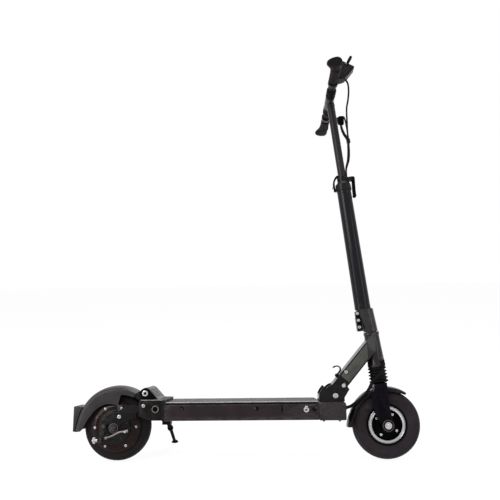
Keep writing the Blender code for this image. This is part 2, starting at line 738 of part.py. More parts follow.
def build_rear_fender(swing, finish):
    crown = [(58, REAR_FENDER_RADIUS), (120, REAR_FENDER_RADIUS), (158, REAR_FENDER_RADIUS + 0.006),
             (187, TAIL_RADIUS)]
    skirt = [(58, 0.102), (69, 0.100), (72, 0.056), (90, 0.060), (110, 0.069), (132, 0.076), (150, 0.078),
             (165, 0.089), (180, 0.101), (187, 0.121)]
    angles = [58, 69, 72, 82, 96, 110, 121, 132, 141, 150, 158, 165, 173, 180, 187]
    stations = [(angle, fender_section(along(crown, angle), along(skirt, angle), FENDER_HALF)) for angle in angles]
    shell = lofted_shell(stations, FENDER_WALL)
    follow = [(along(crown, angle) - 0.0015, angle) for angle in (187, 180, 173, 165, 158, 154)]
    inside = [(r * cos(radians(a)), r * sin(radians(a))) for r, a in follow]
    tail = [(-0.1310, 0.0620), (-0.1385, -0.0150)] + [inside[0]] + inside[1:]
    panel = plate(tail, -0.034, 0.034)
    tab = rounded([(0.0105, 0.0345, 0.006), (0.0240, 0.0345, 0.006), (0.0215, 0.0640, 0), (0.0040, 0.0660, 0)])
    lugs = []
    for way in (-1, 1):
        low, high = sorted((way * (FENDER_HALF - FENDER_WALL), way * FENDER_HALF))
        lugs.append(plate(tab, low, high))
        start = (0.017, way * (FENDER_HALF - 0.0015), 0.0405)
        lugs.append(rod(start, (0.017, way * (ARM_IN - SEAT), 0.0405), 0.0055))
    axle = at(REAR_AXLE_X - SWING_X, 0, WHEEL_RADIUS - SWING_Z)
    piece("rear_fender", swing, finish["plastic"], moved(join(shell, panel, *lugs), axle))

    lens = bevelled(box((-0.0024, 0), (-0.024, 0.024), (0.030, 0.052)), 0.0010)
    tilt = degrees(atan2(0.1385 - 0.1310, 0.0770))
    back = at(-0.1370 - SEAT, 0, 0) @ turn(tilt, "Y")
    piece("tail_light", swing, finish["lens"], moved(lens, axle @ back))


def build_rear_axle(swing, finish):
    bar = rod((0, -0.0745, 0), (0, 0.0745, 0), REAR_AXLE_RADIUS)
    shapes = [bar]
    for way in (-1, 1):
        shapes.append(rod((0, way * 0.0449, 0), (0, way * (ARM_IN - SEAT), 0), 0.0095))
        face = ARM_OUT + SEAT
        shapes.append(rod((0, way * face, 0), (0, way * (face + 0.0016), 0), 0.0125))
        nut = rod((0, way * (face + 0.0012), 0), (0, way * (face + 0.0085), 0), 0.0098, segments=6)
        shapes.append(nut)
    solid = join(*shapes)
    axle = at(REAR_AXLE_X - SWING_X, 0, WHEEL_RADIUS - SWING_Z)
    piece("rear_axle", swing, finish["bright"], moved(solid, axle))

    core = turned([(STATOR_RADIUS, 0.0040), (STATOR_RADIUS, -0.0238), (REAR_AXLE_RADIUS + SEAT, -0.0238),
                   (REAR_AXLE_RADIUS + SEAT, 0.0040)], 18, axis="Y")
    core = moved(core, turn(180, "Z"))
    slots = []
    for i in range(6):
        slots.append(moved(box((0.036, 0.054), (-0.008, 0.028), (-0.0022, 0.0022)), turn(60 * i + 15, "Y")))
    piece("motor_stator", swing, finish["copper"], moved(cut(core, *slots), axle))


def build_drum_brake(swing, arm, finish):
    """Backing plate with the cable stop, the bent guide tube, and the arm with its wing nut."""
    profile = [(0.0450, -0.0388), (0.0450, -0.0404), (0.0420, -0.0412), (0.0300, -0.0412), (0.0270, -0.0440),
               (0.0150, -0.0440), (0.0140, -0.0446), (REAR_AXLE_RADIUS + SEAT, -0.0446),
               (REAR_AXLE_RADIUS + SEAT, -0.0290), (0.0415, -0.0290), (0.0415, -0.0388)]
    disc = turned([(r, y) for r, y in profile[::-1]], 20, axis="Z")
    disc.data.transform(turn(-90, "X"))
    axle = at(REAR_AXLE_X - SWING_X, 0, WHEEL_RADIUS - SWING_Z)
    post = rod((0.039, -0.0395, -0.008), (0.039, -0.0608, -0.008), 0.0040)
    foot = rod((0.039, -0.0395, -0.008), (0.039, -0.0450, -0.008), 0.0065)
    hub = rod((-0.0285, -0.0415, 0.006), (-0.0285, -0.0480, 0.006), 0.0075)
    cam_hole = rod((-0.0285, -0.0300, 0.006), (-0.0285, -0.0600, 0.006), 0.0045 + RUN)
    body = cut(join(disc, post, foot, hub), cam_hole)
    piece("brake_plate", swing, finish["steel_black"], moved(body, axle))

    guide = [(0.041, -0.0660, -0.0070), (0.032, -0.0662, -0.0105), (0.016, -0.0664, -0.0175),
             (0.000, -0.0662, -0.0215), (-0.0235, -0.0660, -0.0240)]
    bent = tube(smooth_path(guide, 0.008), 0.0035, 2)
    tip = rod((-0.019, -0.0660, -0.0236), (-0.0255, -0.0660, -0.0243), 0.0046)
    nut = rod((0.0425, -0.0660, -0.0064), (0.0365, -0.0660, -0.0088), 0.0048)
    piece("brake_noodle", swing, finish["bright"], moved(join(bent, tip, nut), axle))

    spindle = rod((0, -0.0310, 0), (0, -0.0680, 0), 0.0045)
    lever = plate(rounded([(0.0060, 0.0065, 0.006), (-0.0060, 0.0065, 0.006), (-0.0140, -0.0330, 0.005),
                           (-0.0030, -0.0340, 0.005)]), -0.0665, -0.0625)
    trunnion = rod((-0.0080, -0.0590, -0.0300), (-0.0080, -0.0705, -0.0300), 0.0045)
    arm_body = join(lever, spindle, trunnion)
    way = Vector((-1, 0, -0.11)).normalized()
    eye = Vector((-0.0080, -0.0660, -0.0300))
    arm_body = cut(arm_body, rod(eye - way * 0.010, eye + way * 0.012, 0.0020, segments=12))
    piece("brake_arm", arm, finish["steel_black"], arm_body)

    wire = rod(eye - way * 0.0060, eye + way * 0.022, 0.0015, segments=12)
    seat = rod(eye + way * 0.0060, eye + way * 0.0120, 0.0045)
    wing = bevelled(box((-0.0035, 0.0035), (-0.0016, 0.0016), (-0.0095, 0.0095)), 0.0010)
    middle = eye + way * 0.0145
    wing = moved(wing, Matrix.Translation(middle) @ way.to_track_quat("X", "Z").to_matrix().to_4x4())
    piece("brake_wing_nut", arm, finish["bright"], join(wire, seat, wing))


def build_rear_wheel(wheel, finish):
    w = REAR_TYRE_HALF
    bead = MOTOR_RADIUS + SEAT
    tyre = [(bead, w - 0.0015), (0.0860, w), (0.0935, w - 0.0030), (0.0980, w - 0.0105),
            (WHEEL_RADIUS, 0.004)]
    tyre = tyre + [(r, -y) for r, y in tyre[::-1]]
    piece("rear_tyre", wheel, finish["tyre"], turned(tyre[::-1], 24, axis="Y"))

    lip = w + 0.0003
    h = MOTOR_HALF
    shell = [(0.0745, h), (0.0745, lip), (MOTOR_RADIUS, lip), (MOTOR_RADIUS, -lip), (0.0745, -lip),
             (0.0745, -h), (0.0592, -h), (0.0592, -0.0215), (0.0650, -0.0195), (0.0650, 0.0195),
             (0.0592, 0.0215), (0.0592, h)]
    piece("motor_shell", wheel, finish["hub"], turned(shell, 24, axis="Y"))

    near = h + SEAT
    left = [(0.0600, COVER_FACE - 0.0015), (0.0700, near + 0.0030), (0.0725, near), (0.0580, near),
            (0.0560, near - 0.006), (REAR_AXLE_RADIUS + RUN, near - 0.006), (REAR_AXLE_RADIUS + RUN, 0.0440),
            (0.0160, 0.0440), (0.0200, COVER_FACE + 0.002), (0.0480, COVER_FACE)]
    drum = DRUM_RADIUS
    right = [(0.0600, COVER_FACE - 0.0015), (0.0700, near + 0.0030), (0.0725, near), (0.0580, near),
             (0.0480, near - 0.006), (drum + 0.0030, near - 0.006), (drum + 0.0030, 0.0080),
             (REAR_AXLE_RADIUS + RUN, 0.0080), (REAR_AXLE_RADIUS + RUN, 0.0120), (drum, 0.0120),
             (drum, 0.0370), (drum + 0.0045, COVER_FACE - 0.0004), (0.0500, COVER_FACE - 0.0015)]
    far_cover = turned(left, 20, axis="Y")
    near_cover = moved(turned(right, 20, axis="Y"), turn(180, "X"))
    for way, name, cover in ((-1, "motor_cover_right", near_cover), (1, "motor_cover_left", far_cover)):
        heads = []
        for i in range(6):
            angle = radians(60 * i + 11)
            face = way * (COVER_FACE - 0.0015)
            place = (COVER_BOLT_CIRCLE * cos(angle), face, COVER_BOLT_CIRCLE * sin(angle))
            heads.append(fixed_head(place, (0, way, 0), 0.0038, 0.0022))
        piece(name, wheel, finish["hub"], join(cover, *heads))


# Neck, its lock and the head tube

def steer_matrix():
    """The steering's own space: Z along its axis, X forward of it, from the front axle."""
    return at(FRONT_AXLE_X, 0, WHEEL_RADIUS) @ turn(-STEER_TILT, "Y")


def neck_matrix():
    """The neck's own space: X along the neck from the fold's pivot."""
    return at(FOLD_X, 0, FOLD_Z) @ turn(-NECK_ANGLE, "Y")


def leaning_cone(low, low_radius, high, high_radius, segments=18):
    """A cone between two level circles whose middles needn't be above each other."""
    bm = bmesh.new()
    rings = []
    for middle, radius in ((low, low_radius), (high, high_radius)):
        verts = bmesh.ops.create_circle(bm, cap_ends=True, segments=segments, radius=radius)["verts"]
        bmesh.ops.translate(bm, vec=Vector(middle), verts=verts)
        rings.append(verts)
    for i in range(segments):
        j = (i + 1) % segments
        bm.faces.new((rings[0][i], rings[0][j], rings[1][j], rings[1][i]))
    bmesh.ops.recalc_face_normals(bm, faces=bm.faces)
    return shape(bm)


def neck_end(inset, height):
    """Where a plane behind the steering axis crosses the neck at a height above its middle line."""
    space = neck_matrix().inverted() @ steer_matrix()
    start = space @ Vector((-inset, 0, 0))
    way = space.to_3x3() @ Vector((0, 0, 1))
    return start.x + way.x * (height - start.z) / way.z


def build_neck(neck, finish):
    reach = -NECK_LOW + 0.0003
    corner = Vector((0.018, NECK_HIGH))
    tangent = degrees(atan2(corner.y, corner.x) + acos(reach / corner.length))
    behind = 0.0268
    outline = [(neck_end(behind, NECK_LOW), NECK_LOW), (neck_end(behind, NECK_HIGH), NECK_HIGH),
               tuple(corner)]
    outline = outline + arc((0, 0), reach, tangent, 270, 9)
    body = plate(outline, -NECK_HALF, NECK_HALF, holes=(circle((0, 0), FOLD_BOLT_RADIUS + RUN),))
    low = NECK_LOW + NECK_WALL
    high = NECK_HIGH - NECK_WALL
    inside = [(-0.03, low), (neck_end(behind + 0.010, low), low), (neck_end(behind + 0.010, high), high),
              (-0.03, high)]
    body = cut(body, plate(inside, -NECK_HALF + NECK_WALL, NECK_HALF - NECK_WALL))
    gap = LOCK_PIN_RADIUS + 0.0003
    track = box((LOCK_REACH - gap, LOCK_REACH + LOCK_TRAVEL + gap), (-0.06, 0.06), (-gap, gap))
    slot = box((RELEASE_S - 0.0045, RELEASE_S + 0.0075), (-0.0035, 0.0035), (high - 0.002, NECK_HIGH + 0.01))
    body = cut(body, track, slot)
    ear_foot = NECK_HIGH - 0.001
    ear_top = RELEASE_T + 0.0042
    ear = rounded([(RELEASE_S - 0.006, ear_foot, 0), (RELEASE_S + 0.006, ear_foot, 0),
                   (RELEASE_S + 0.0045, ear_top, 0.004), (RELEASE_S - 0.0045, ear_top, 0.004)])
    hole = circle((RELEASE_S, RELEASE_T), 0.0020 + RUN, 12)
    ears = [plate(ear, low_side, low_side + 0.003, holes=(hole,)) for low_side in (-0.0125, 0.0095)]
    bosses = []
    for way in (-1, 1):
        start = (0.074, way * (NECK_HALF - 0.001), 0.0185)
        bosses.append(rod(start, (0.074, way * (NECK_HALF + 0.0025), 0.0185), 0.0056))
    piece("neck_beam", neck, finish["neck"], join(body, *ears, *bosses))


def build_head_tube(neck, finish):
    to_neck = neck_matrix().inverted() @ steer_matrix()
    low, high = HEAD_LOW, HEAD_HIGH
    outer = [(HEAD_RADIUS_HIGH + 0.0012, high), (HEAD_RADIUS_HIGH + 0.0012, high - 0.0075),
             (HEAD_RADIUS_HIGH, high - 0.0090), (HEAD_RADIUS_LOW, low + 0.0105),
             (HEAD_RADIUS_LOW + 0.0008, low + 0.009), (HEAD_RADIUS_LOW + 0.0008, low)]
    body = turned([*outer, (0.010, low), (0.010, high)], 20)
    wedge = [(-0.0265, -0.0345), (-0.0185, -0.0345), (0.004, -0.0225), (0.004, 0.0225), (-0.0185, 0.0345),
             (-0.0265, 0.0345)]
    gusset = plate(wedge, low - 0.01, high + 0.02, axis="Z")
    neck_to_steer = to_neck.inverted()
    under = moved(box((-0.1, 0.4), (-0.1, 0.1), (-0.2, NECK_LOW)), neck_to_steer)
    over = moved(box((-0.1, 0.4), (-0.1, 0.1), (NECK_HIGH, 0.2)), neck_to_steer)
    gusset = cut(gusset, under, over)
    rib = rod((0.0125, 0, low + 0.006), (0.0125, 0, high - 0.004), 0.0145, 0.0090, segments=12)
    out = Vector((cos(radians(-55)), sin(radians(-55)), 0))
    mouth = out * 0.030 + Vector((0, 0, 0.1830))
    inner = out * 0.018 + Vector((0, 0, 0.1960))
    boss = rod(inner, mouth, HARNESS_RADIUS + 0.0026)
    body = join(body, gusset, rib, boss)
    bore = rod((0, 0, low - 0.01), (0, 0, high + 0.01), STEERER_RADIUS + 0.0005, segments=24)
    seats = [rod((0, 0, low - 0.01), (0, 0, low + 0.0085), 0.0205, segments=24),
             rod((0, 0, high - 0.0085), (0, 0, high + 0.01), 0.0205, segments=24)]
    lead_start = out * 0.0125 + Vector((0, 0, 0.2020))
    lead = rod(lead_start, out * 0.036 + Vector((0, 0, 0.1765)), HARNESS_RADIUS + 0.0010)
    body = cut(body, bore, *seats, lead)
    piece("head_tube", neck, finish["black"], moved(body, to_neck))

    for name, start in (("bearing_lower", low + SEAT), ("bearing_upper", high - 0.0085 + SEAT)):
        race = ring(0.0202, STEERER_RADIUS + SEAT, start, start + 0.0079, 24)
        piece(name, neck, finish["bright"], moved(race, to_neck))


def build_lock(pin, lever, finish):
    """The cross pin with its yoke, and the lever whose crank pulls it up the neck."""
    shaft = rod((0, -0.0440, 0), (0, 0.0440, 0), LOCK_PIN_RADIUS)
    heads = [rod((0, way * 0.0420, 0), (0, way * 0.0452, 0), 0.0056) for way in (-1, 1)]
    yoke = bevelled(box((-0.0050, 0.0175), (-0.0060, 0.0060), (-0.0040, 0.0040)), 0.0010)
    yoke = cut(join(yoke, shaft, *heads), box((0.0080, 0.0150), (-0.0030, 0.0030), (-0.01, 0.01)))
    piece("lock_pin", pin, finish["bright"], yoke)

    blade = [(0.0, 0.0), (0.0110, 0.0), (0.0180, 0.0004), (0.0232, 0.0035), (0.0250, 0.0090), (0.0232, 0.0150),
             (0.0180, 0.0200), (0.0105, 0.0228)]
    handle = plate(strip(blade, 0.0024), -0.0085, 0.0085)
    crank = plate([(-0.0013, 0.0), (0.0013, 0.0), (0.0013, -0.0285), (-0.0013, -0.0285)], -0.0025, 0.0025)
    barrel = rod((0, -0.0088, 0), (0, 0.0088, 0), 0.0034)
    pivot = rod((0, -0.0125, 0), (0, 0.0125, 0), 0.0020, segments=12)
    piece("release_lever", lever, finish["steel_black"], join(handle, barrel, crank, pivot))


# Steering column

def build_column(steer, finish):
    foot = CLAMP_HIGH + SEAT
    tube_low = [(COLUMN_RADIUS_HIGH, COLUMN_HIGH), (COLUMN_RADIUS_LOW, foot),
                (COLUMN_RADIUS_LOW - COLUMN_WALL, foot), (COLUMN_RADIUS_HIGH - COLUMN_WALL, COLUMN_HIGH)]
    piece("steering_column", steer, finish["column"], turned(tube_low, 24, centre=(COLUMN_OFFSET, 0, 0)))

    inner = STEERER_RADIUS - STEERER_WALL
    steerer = ring(STEERER_RADIUS, inner, STEERER_LOW, STEERER_HIGH, 24)
    piece("steerer_tube", steer, finish["steel_black"], steerer)

    body = leaning_cone((0, 0, CLAMP_LOW), 0.0212, (-0.0088, 0, CLAMP_HIGH), 0.0255)
    plug_low = (COLUMN_OFFSET, 0, CLAMP_HIGH - 0.004)
    plug = rod(plug_low, (COLUMN_OFFSET, 0, CLAMP_HIGH + 0.025), 0.0213, segments=24)
    ears = box((-0.0410, -0.0120), (-0.0105, 0.0105), (CLAMP_BOLTS[0] - 0.009, CLAMP_BOLTS[2] + 0.009))
    ears = bevelled(ears, 0.0020)
    body = join(body, plug, ears)
    bore = rod((0, 0, CLAMP_LOW - 0.01), (0, 0, STEERER_HIGH + 0.0005), STEERER_RADIUS + SEAT, segments=24)
    slit = box((-0.050, -0.0100), (-0.0009, 0.0009), (CLAMP_LOW - 0.01, CLAMP_HIGH - 0.007))
    holes = [rod((-0.0340, -0.02, z), (-0.0340, 0.02, z), 0.0029, segments=12) for z in CLAMP_BOLTS]
    piece("stem_clamp", steer, finish["black"], cut(body, bore, slit, *holes))

    strip_low = CLAMP_BOLTS[0] - 0.005
    bolts = [box((-0.0385, -0.0295), (0.0105 + SEAT, 0.0142), (strip_low, CLAMP_BOLTS[2] + 0.005))]
    for z in CLAMP_BOLTS:
        bolts.append(screw_head((-0.0340, -0.0105 - SEAT, z), (0, -1, 0), 0.0046, 0.0036))
        bolts.append(rod((-0.0340, -0.0118, z), (-0.0340, 0.0118, z), 0.0026))
    piece("stem_clamp_bolts", steer, finish["bright"], join(*bolts))


def build_collar(steer, finish):
    skirt = leaning_cone((COLUMN_OFFSET, 0, 0.724), 0.0247, (COLUMN_OFFSET, 0, 0.7440), 0.0240)
    shoulder = leaning_cone((COLUMN_OFFSET, 0, 0.7435), 0.0240, (MAST_OFFSET, 0, 0.7520), 0.0178)
    neck = rod((MAST_OFFSET, 0, 0.7510), (MAST_OFFSET, 0, COLLAR_HIGH), 0.0175, segments=18)
    x, z = QUICK_PIVOT
    ear = rounded([(-0.004, z - 0.0060, 0), (x + 0.0050, z - 0.0060, 0.0050),
                   (x + 0.0050, z + 0.0060, 0.0050), (-0.004, z + 0.0060, 0)])
    ears = [plate(ear, low, low + 0.0037) for low in (-0.0102, 0.0065)]
    lx, lz = LATCH_PIVOT
    lug = rounded([(-0.0350, lz - 0.0030, 0), (-0.0350, lz + 0.0060, 0), (lx, lz + 0.0034, 0.003),
                   (lx - 0.0026, lz, 0.002), (lx, lz - 0.0030, 0.002)])
    lugs = [plate(lug, low, low + 0.0028) for low in (-0.0092, 0.0064)]
    body = join(skirt, shoulder, neck, *ears, *lugs)
    socket = rod((COLUMN_OFFSET, 0, 0.71), (COLUMN_OFFSET, 0, COLUMN_HIGH + SEAT), COLUMN_RADIUS_HIGH + SEAT,
                 segments=24)
    bore = rod((MAST_OFFSET, 0, 0.72), (MAST_OFFSET, 0, 0.79), MAST_RADIUS + RUN, segments=24)
    notch = box((-0.0030, 0.0070), (-0.0070, 0.0070), (COLUMN_HIGH - 0.003, 0.79))
    quick_hole = rod((x, -0.02, z), (x, 0.02, z), 0.0022, segments=12)
    latch_hole = rod((lx, -0.02, lz), (lx, 0.02, lz), 0.0017, segments=12)
    piece("column_collar", steer, finish["black"], cut(body, socket, bore, notch, quick_hole, latch_hole))


def build_quick_release(pivot, finish):
    """The clamping lever hangs in front of the collar and swings forward and up."""
    barrel = rod((0, -0.0062, 0), (0, 0.0062, 0), 0.0054)
    pin = rod((0, -0.0125, 0), (0, 0.0125, 0), 0.0019, segments=12)
    heads = [rod((0, way * 0.0106, 0), (0, way * 0.0135, 0), 0.0040) for way in (-1, 1)]
    path = [(0.0, 0.0), (-0.0005, -0.0100), (-0.0020, -0.0220), (-0.0042, -0.0370), (-0.0047, -0.0500)]
    arm = bevelled(plate(strip(path, 0.0060), -0.0058, 0.0058), 0.0010)
    knob = rod((-0.0042, -0.0066, -0.0535), (-0.0042, 0.0066, -0.0535), 0.0056)
    piece("quick_release_lever", pivot, finish["steel_black"], join(barrel, arm, knob, pin, *heads))


def build_latch(pivot, finish):
    """The height catch: hinged at its foot, its tooth over the collar's rim."""
    lx, lz = LATCH_PIVOT
    path = [(0.0, 0.0), (-0.0008, 0.0100), (-0.0008, 0.0220), (0.0022, 0.0320), (0.0075, 0.0395),
            (0.0120, 0.0445), (-0.0253 - lx, 0.7735 - lz)]
    blade = plate(strip(path, 0.0021), -0.0058, 0.0058)
    barrel = rod((0, -0.0060, 0), (0, 0.0060, 0), 0.0024, segments=16)
    pin = rod((0, -0.0092, 0), (0, 0.0092, 0), 0.0014, segments=12)
    tab = plate(strip([(-0.0008, 0.0150), (-0.0045, 0.0120), (-0.0070, 0.0075)], 0.0018), -0.0045, 0.0045)
    piece("height_latch", pivot, finish["bright"], join(blade, barrel, pin, tab))


# Fork and front wheel

def build_fork(fork, finish):
    leg = rounded([
        (0.0195, -0.0195, 0.0192), (0.0190, 0.0220, 0.020), (0.0142, 0.0550, 0.030), (0.0125, 0.0860, 0.030),
        (0.0160, CROWN_HIGH, 0.0), (LEG_REAR, CROWN_HIGH, 0.0), (LEG_REAR - 0.0020, 0.1080, 0.006),
        (-0.0355, 0.0880, 0.012), (-0.0335, 0.0430, 0.030), (-0.0195, 0.0060, 0.020),
        (-0.0195, -0.0195, 0.0192),
    ], steps=3)
    legs = [plate(leg, low, low + LEG_THICKNESS) for low in (-LEG_IN - LEG_THICKNESS, LEG_IN)]
    crown = box((LEG_REAR, 0.0155), (-LEG_IN - 0.004, LEG_IN + 0.004), (CROWN_LOW, CROWN_HIGH))
    pads = []
    for way in (-1, 1):
        face = way * (LEG_IN + LEG_THICKNESS)
        pads.append(rod((0, face - way * 0.002, 0), (0, face + way * 0.0009, 0), 0.0165, segments=16))
    stanchion = ring(STANCHION_RADIUS, STANCHION_RADIUS - 0.0025, CROWN_LOW + 0.002, STANCHION_HIGH)
    axle_hole = rod((0, -0.06, 0), (0, 0.06, 0), FRONT_AXLE_RADIUS + SEAT)
    piece("fork", fork, finish["fork"], cut(join(crown, *legs, *pads, stanchion), axle_hole))


def build_bellows(fork, finish):
    low = CROWN_HIGH + SEAT
    high = HEAD_LOW - SEAT
    count = 2 * BELLOWS_RIBS + 1
    skin = []
    for i in range(count):
        share = i / (count - 1)
        swell = 0.0020 * share
        radius = (BELLOWS_ROOT if i % 2 == 0 else BELLOWS_RADIUS - 0.001) + swell
        skin.append((radius, high + (low - high) * share))
    piece("bellows", fork, finish["rubber"], turned([*skin, (BELLOWS_BORE, low), (BELLOWS_BORE, high)], 20))


def build_front_fender(fork, finish):
    """Runs from ahead of the crown to a lip behind the tyre."""
    crown = CROWN_LOW - SEAT
    wall = FRONT_FENDER_WALL
    angles = [48.5, 57, 68, 80, 92, 104, 116, 128, 142, 156, 166, 176.5]
    stations = []
    for angle in angles:
        radius = crown
        if angle > 156:
            radius = crown + 0.0062 * (angle - 156) / 20.5
        taper = min(1.0, 0.55 + 0.45 * (angle - 48.5) / 16)
        half = 0.0310 * taper
        drop = 0.0140 * taper
        section = [(half, radius - drop), (half * 0.985, radius - drop * 0.6), (half * 0.84, radius - drop * 0.26),
                   (half * 0.52, radius - drop * 0.06), (0, radius)]
        stations.append((angle, section))
    body = lofted_shell(stations, wall)
    tab = box((-0.0150, 0.0100), (-0.0130, 0.0130), (crown - 0.0030, crown))
    piece("front_fender", fork, finish["plastic"], join(body, tab))


def build_front_axle(fork, finish):
    shapes = [rod((0, -0.0560, 0), (0, 0.0560, 0), FRONT_AXLE_RADIUS)]
    for way in (-1, 1):
        face = LEG_IN + LEG_THICKNESS + 0.0009 + SEAT
        shapes.append(rod((0, way * 0.0308, 0), (0, way * (LEG_IN - SEAT), 0), 0.0090))
        shapes.append(rod((0, way * face, 0), (0, way * (face + 0.0014), 0), 0.0120))
        shapes.append(rod((0, way * (face + 0.0010), 0), (0, way * (face + 0.0078), 0), 0.0092, segments=6))
    piece("front_axle", fork, finish["bright"], join(*shapes))


def build_front_wheel(wheel, finish):
    w = FRONT_TYRE_HALF
    seat = RIM_RADIUS + SEAT
    outer = [(seat, 0.0192), (0.0680, 0.0226), (0.0820, w), (0.0925, w - 0.0040), (0.0978, w - 0.0115),
             (WHEEL_RADIUS, 0.0040)]
    inside = [(WHEEL_RADIUS - FRONT_TYRE_WALL, 0.0040), (0.0860, 0.0165), (seat, 0.0135)]
    profile = outer + [(r, -y) for r, y in outer[::-1]] + [(r, -y) for r, y in inside[::-1]] + inside
    piece("front_tyre", wheel, finish["tyre"], turned(profile[::-1], 24, axis="Y"))

    side = [(0.0590, 0.0226), (0.0590, 0.0200), (RIM_RADIUS, 0.0195)]
    near = [(0.0460, 0.0226), (HUB_DISC_RADIUS, 0.0208), (HUB_DISC_RADIUS - 0.0008, 0.0135),
            (FRONT_HUB_RADIUS + 0.0020, 0.0135), (FRONT_HUB_RADIUS - 0.0005, 0.0285),
            (FRONT_HUB_RADIUS - 0.0025, 0.0305), (FRONT_AXLE_RADIUS + RUN, 0.0305)]
    rim = side + [(r, -y) for r, y in side[::-1]] + [(r, -y) for r, y in near] + near[::-1]
    heads = []
    for way in (-1, 1):
        for i in range(5):
            angle = radians(72 * i + 62)
            place = (FRONT_BOLT_CIRCLE * cos(angle), way * 0.0135, FRONT_BOLT_CIRCLE * sin(angle))
            heads.append(fixed_head(place, (0, way, 0), 0.0040, 0.0030))
    piece("front_rim", wheel, finish["rim"], join(turned(rim, 24, axis="Y"), *heads))


# Mast, folding handlebar and what is on it

def build_mast(mast, finish):
    """Its frame is the steering's, so the tube is drawn where it stands when pulled right out."""
    x, z = BAR_OFFSET, BAR_HEIGHT
    post = ring(MAST_RADIUS, MAST_RADIUS - MAST_WALL, MAST_LOW, z - 0.004, 24, centre=(MAST_OFFSET, 0, 0))
    cross = rod((x, -CENTRE_HALF, z), (x, CENTRE_HALF, z), CENTRE_RADIUS, segments=18)
    body = join(post, cross)
    for way in (-1, 1):
        y = way * BAR_PIVOT
        inner, outer = sorted((way * (CENTRE_HALF - 0.003), y))
        tongue = box((x - 0.0040, x + 0.0040), (inner, outer), (z - 0.0066, z + 0.0066))
        end = rod((x - 0.0040, y, z), (x + 0.0040, y, z), 0.0066, segments=18)
        pin = rod((x - 0.0084, y, z), (x + 0.0084, y, z), 0.0030, segments=14)
        body = join(body, tongue, end, pin)
    piece("upper_tube", mast, finish["black"], body)


def build_bar(pivot, side, name, finish):
    """Half the handlebar. Its frame is on the fold's pin, and out is the way along Y to its grip."""
    length = BAR_HALF - BAR_PIVOT
    body = rod((0, 0, 0), (0, side * length, 0), BAR_RADIUS, segments=20)
    knuckle = rod((-0.0085, 0, 0), (0.0085, 0, 0), BAR_RADIUS - 0.0002, segments=20)
    knuckle = boolean(knuckle, rod((0, -0.03, 0), (0, 0.03, 0), BAR_RADIUS, segments=20), "INTERSECT")
    low, high = sorted((-side * 0.0120, side * 0.0130))
    slot = box((-0.0043, 0.0043), (low, high), (-0.02, 0.02))
    hole = rod((-0.02, 0, 0), (0.02, 0, 0), 0.0030 + RUN, segments=14)
    bore = rod((0, side * 0.020, 0), (0, side * (length + 0.01), 0), BAR_RADIUS - 0.0020, segments=20)
    piece(name, pivot, finish["bar"], cut(join(body, knuckle), slot, hole, bore))


def along_bar(profile, side, steps=20):
    """A profile of (radius, way out) points turned round the handlebar."""
    found = turned([(r, -d) for r, d in profile], steps, profile[0][0] > 0)
    found.data.transform(turn(-90, "X") if side < 0 else turn(90, "X"))
    return found


def build_sleeve(pivot, side, name, finish):
    r = SLEEVE_RADIUS
    start = -BAR_PIVOT + CENTRE_HALF + 0.0006
    end = start + SLEEVE_LENGTH
    inner = BAR_RADIUS + RUN
    profile = [(inner, start), (r - 0.0008, start), (r, start + 0.0008)]
    z = start + 0.010
    profile = profile + [(r, z), (r - 0.0007, z + 0.0008), (r - 0.0007, z + 0.0022), (r, z + 0.0030)]
    profile = profile + [(r, end - 0.010), (r - 0.0018, end - 0.006), (r - 0.0018, end), (inner, end)]
    piece(name, pivot, finish["sleeve"], along_bar(profile, side))


def build_grip(pivot, side, name, finish):
    start = GRIP_START - BAR_PIVOT
    inner = BAR_RADIUS + SEAT
    length = BAR_HALF - BAR_PIVOT
    profile = [(0.0, length + 0.0004), (inner, length + 0.0004), (inner, start), (0.0150, start),
               (0.0150, start + 0.0065), (0.0143, start + 0.0080), (0.0150, length - 0.0750),
               (0.0177, length - 0.0310), (0.0225, length - 0.0125), (0.0232, length - 0.0060),
               (0.0205, length + 0.0015), (0.0, length + 0.0026)]
    piece(name, pivot, finish["grip"], along_bar(profile, side))


def screen_frame():
    """On the display's face: X up the face, Z out of it, from the foot of the face."""
    rise = degrees(atan2(SCREEN_TOP[1] - SCREEN_FOOT[1], SCREEN_TOP[0] - SCREEN_FOOT[0]))
    return at(SCREEN_FOOT[0], 0, SCREEN_FOOT[1]) @ turn(-rise, "Y")


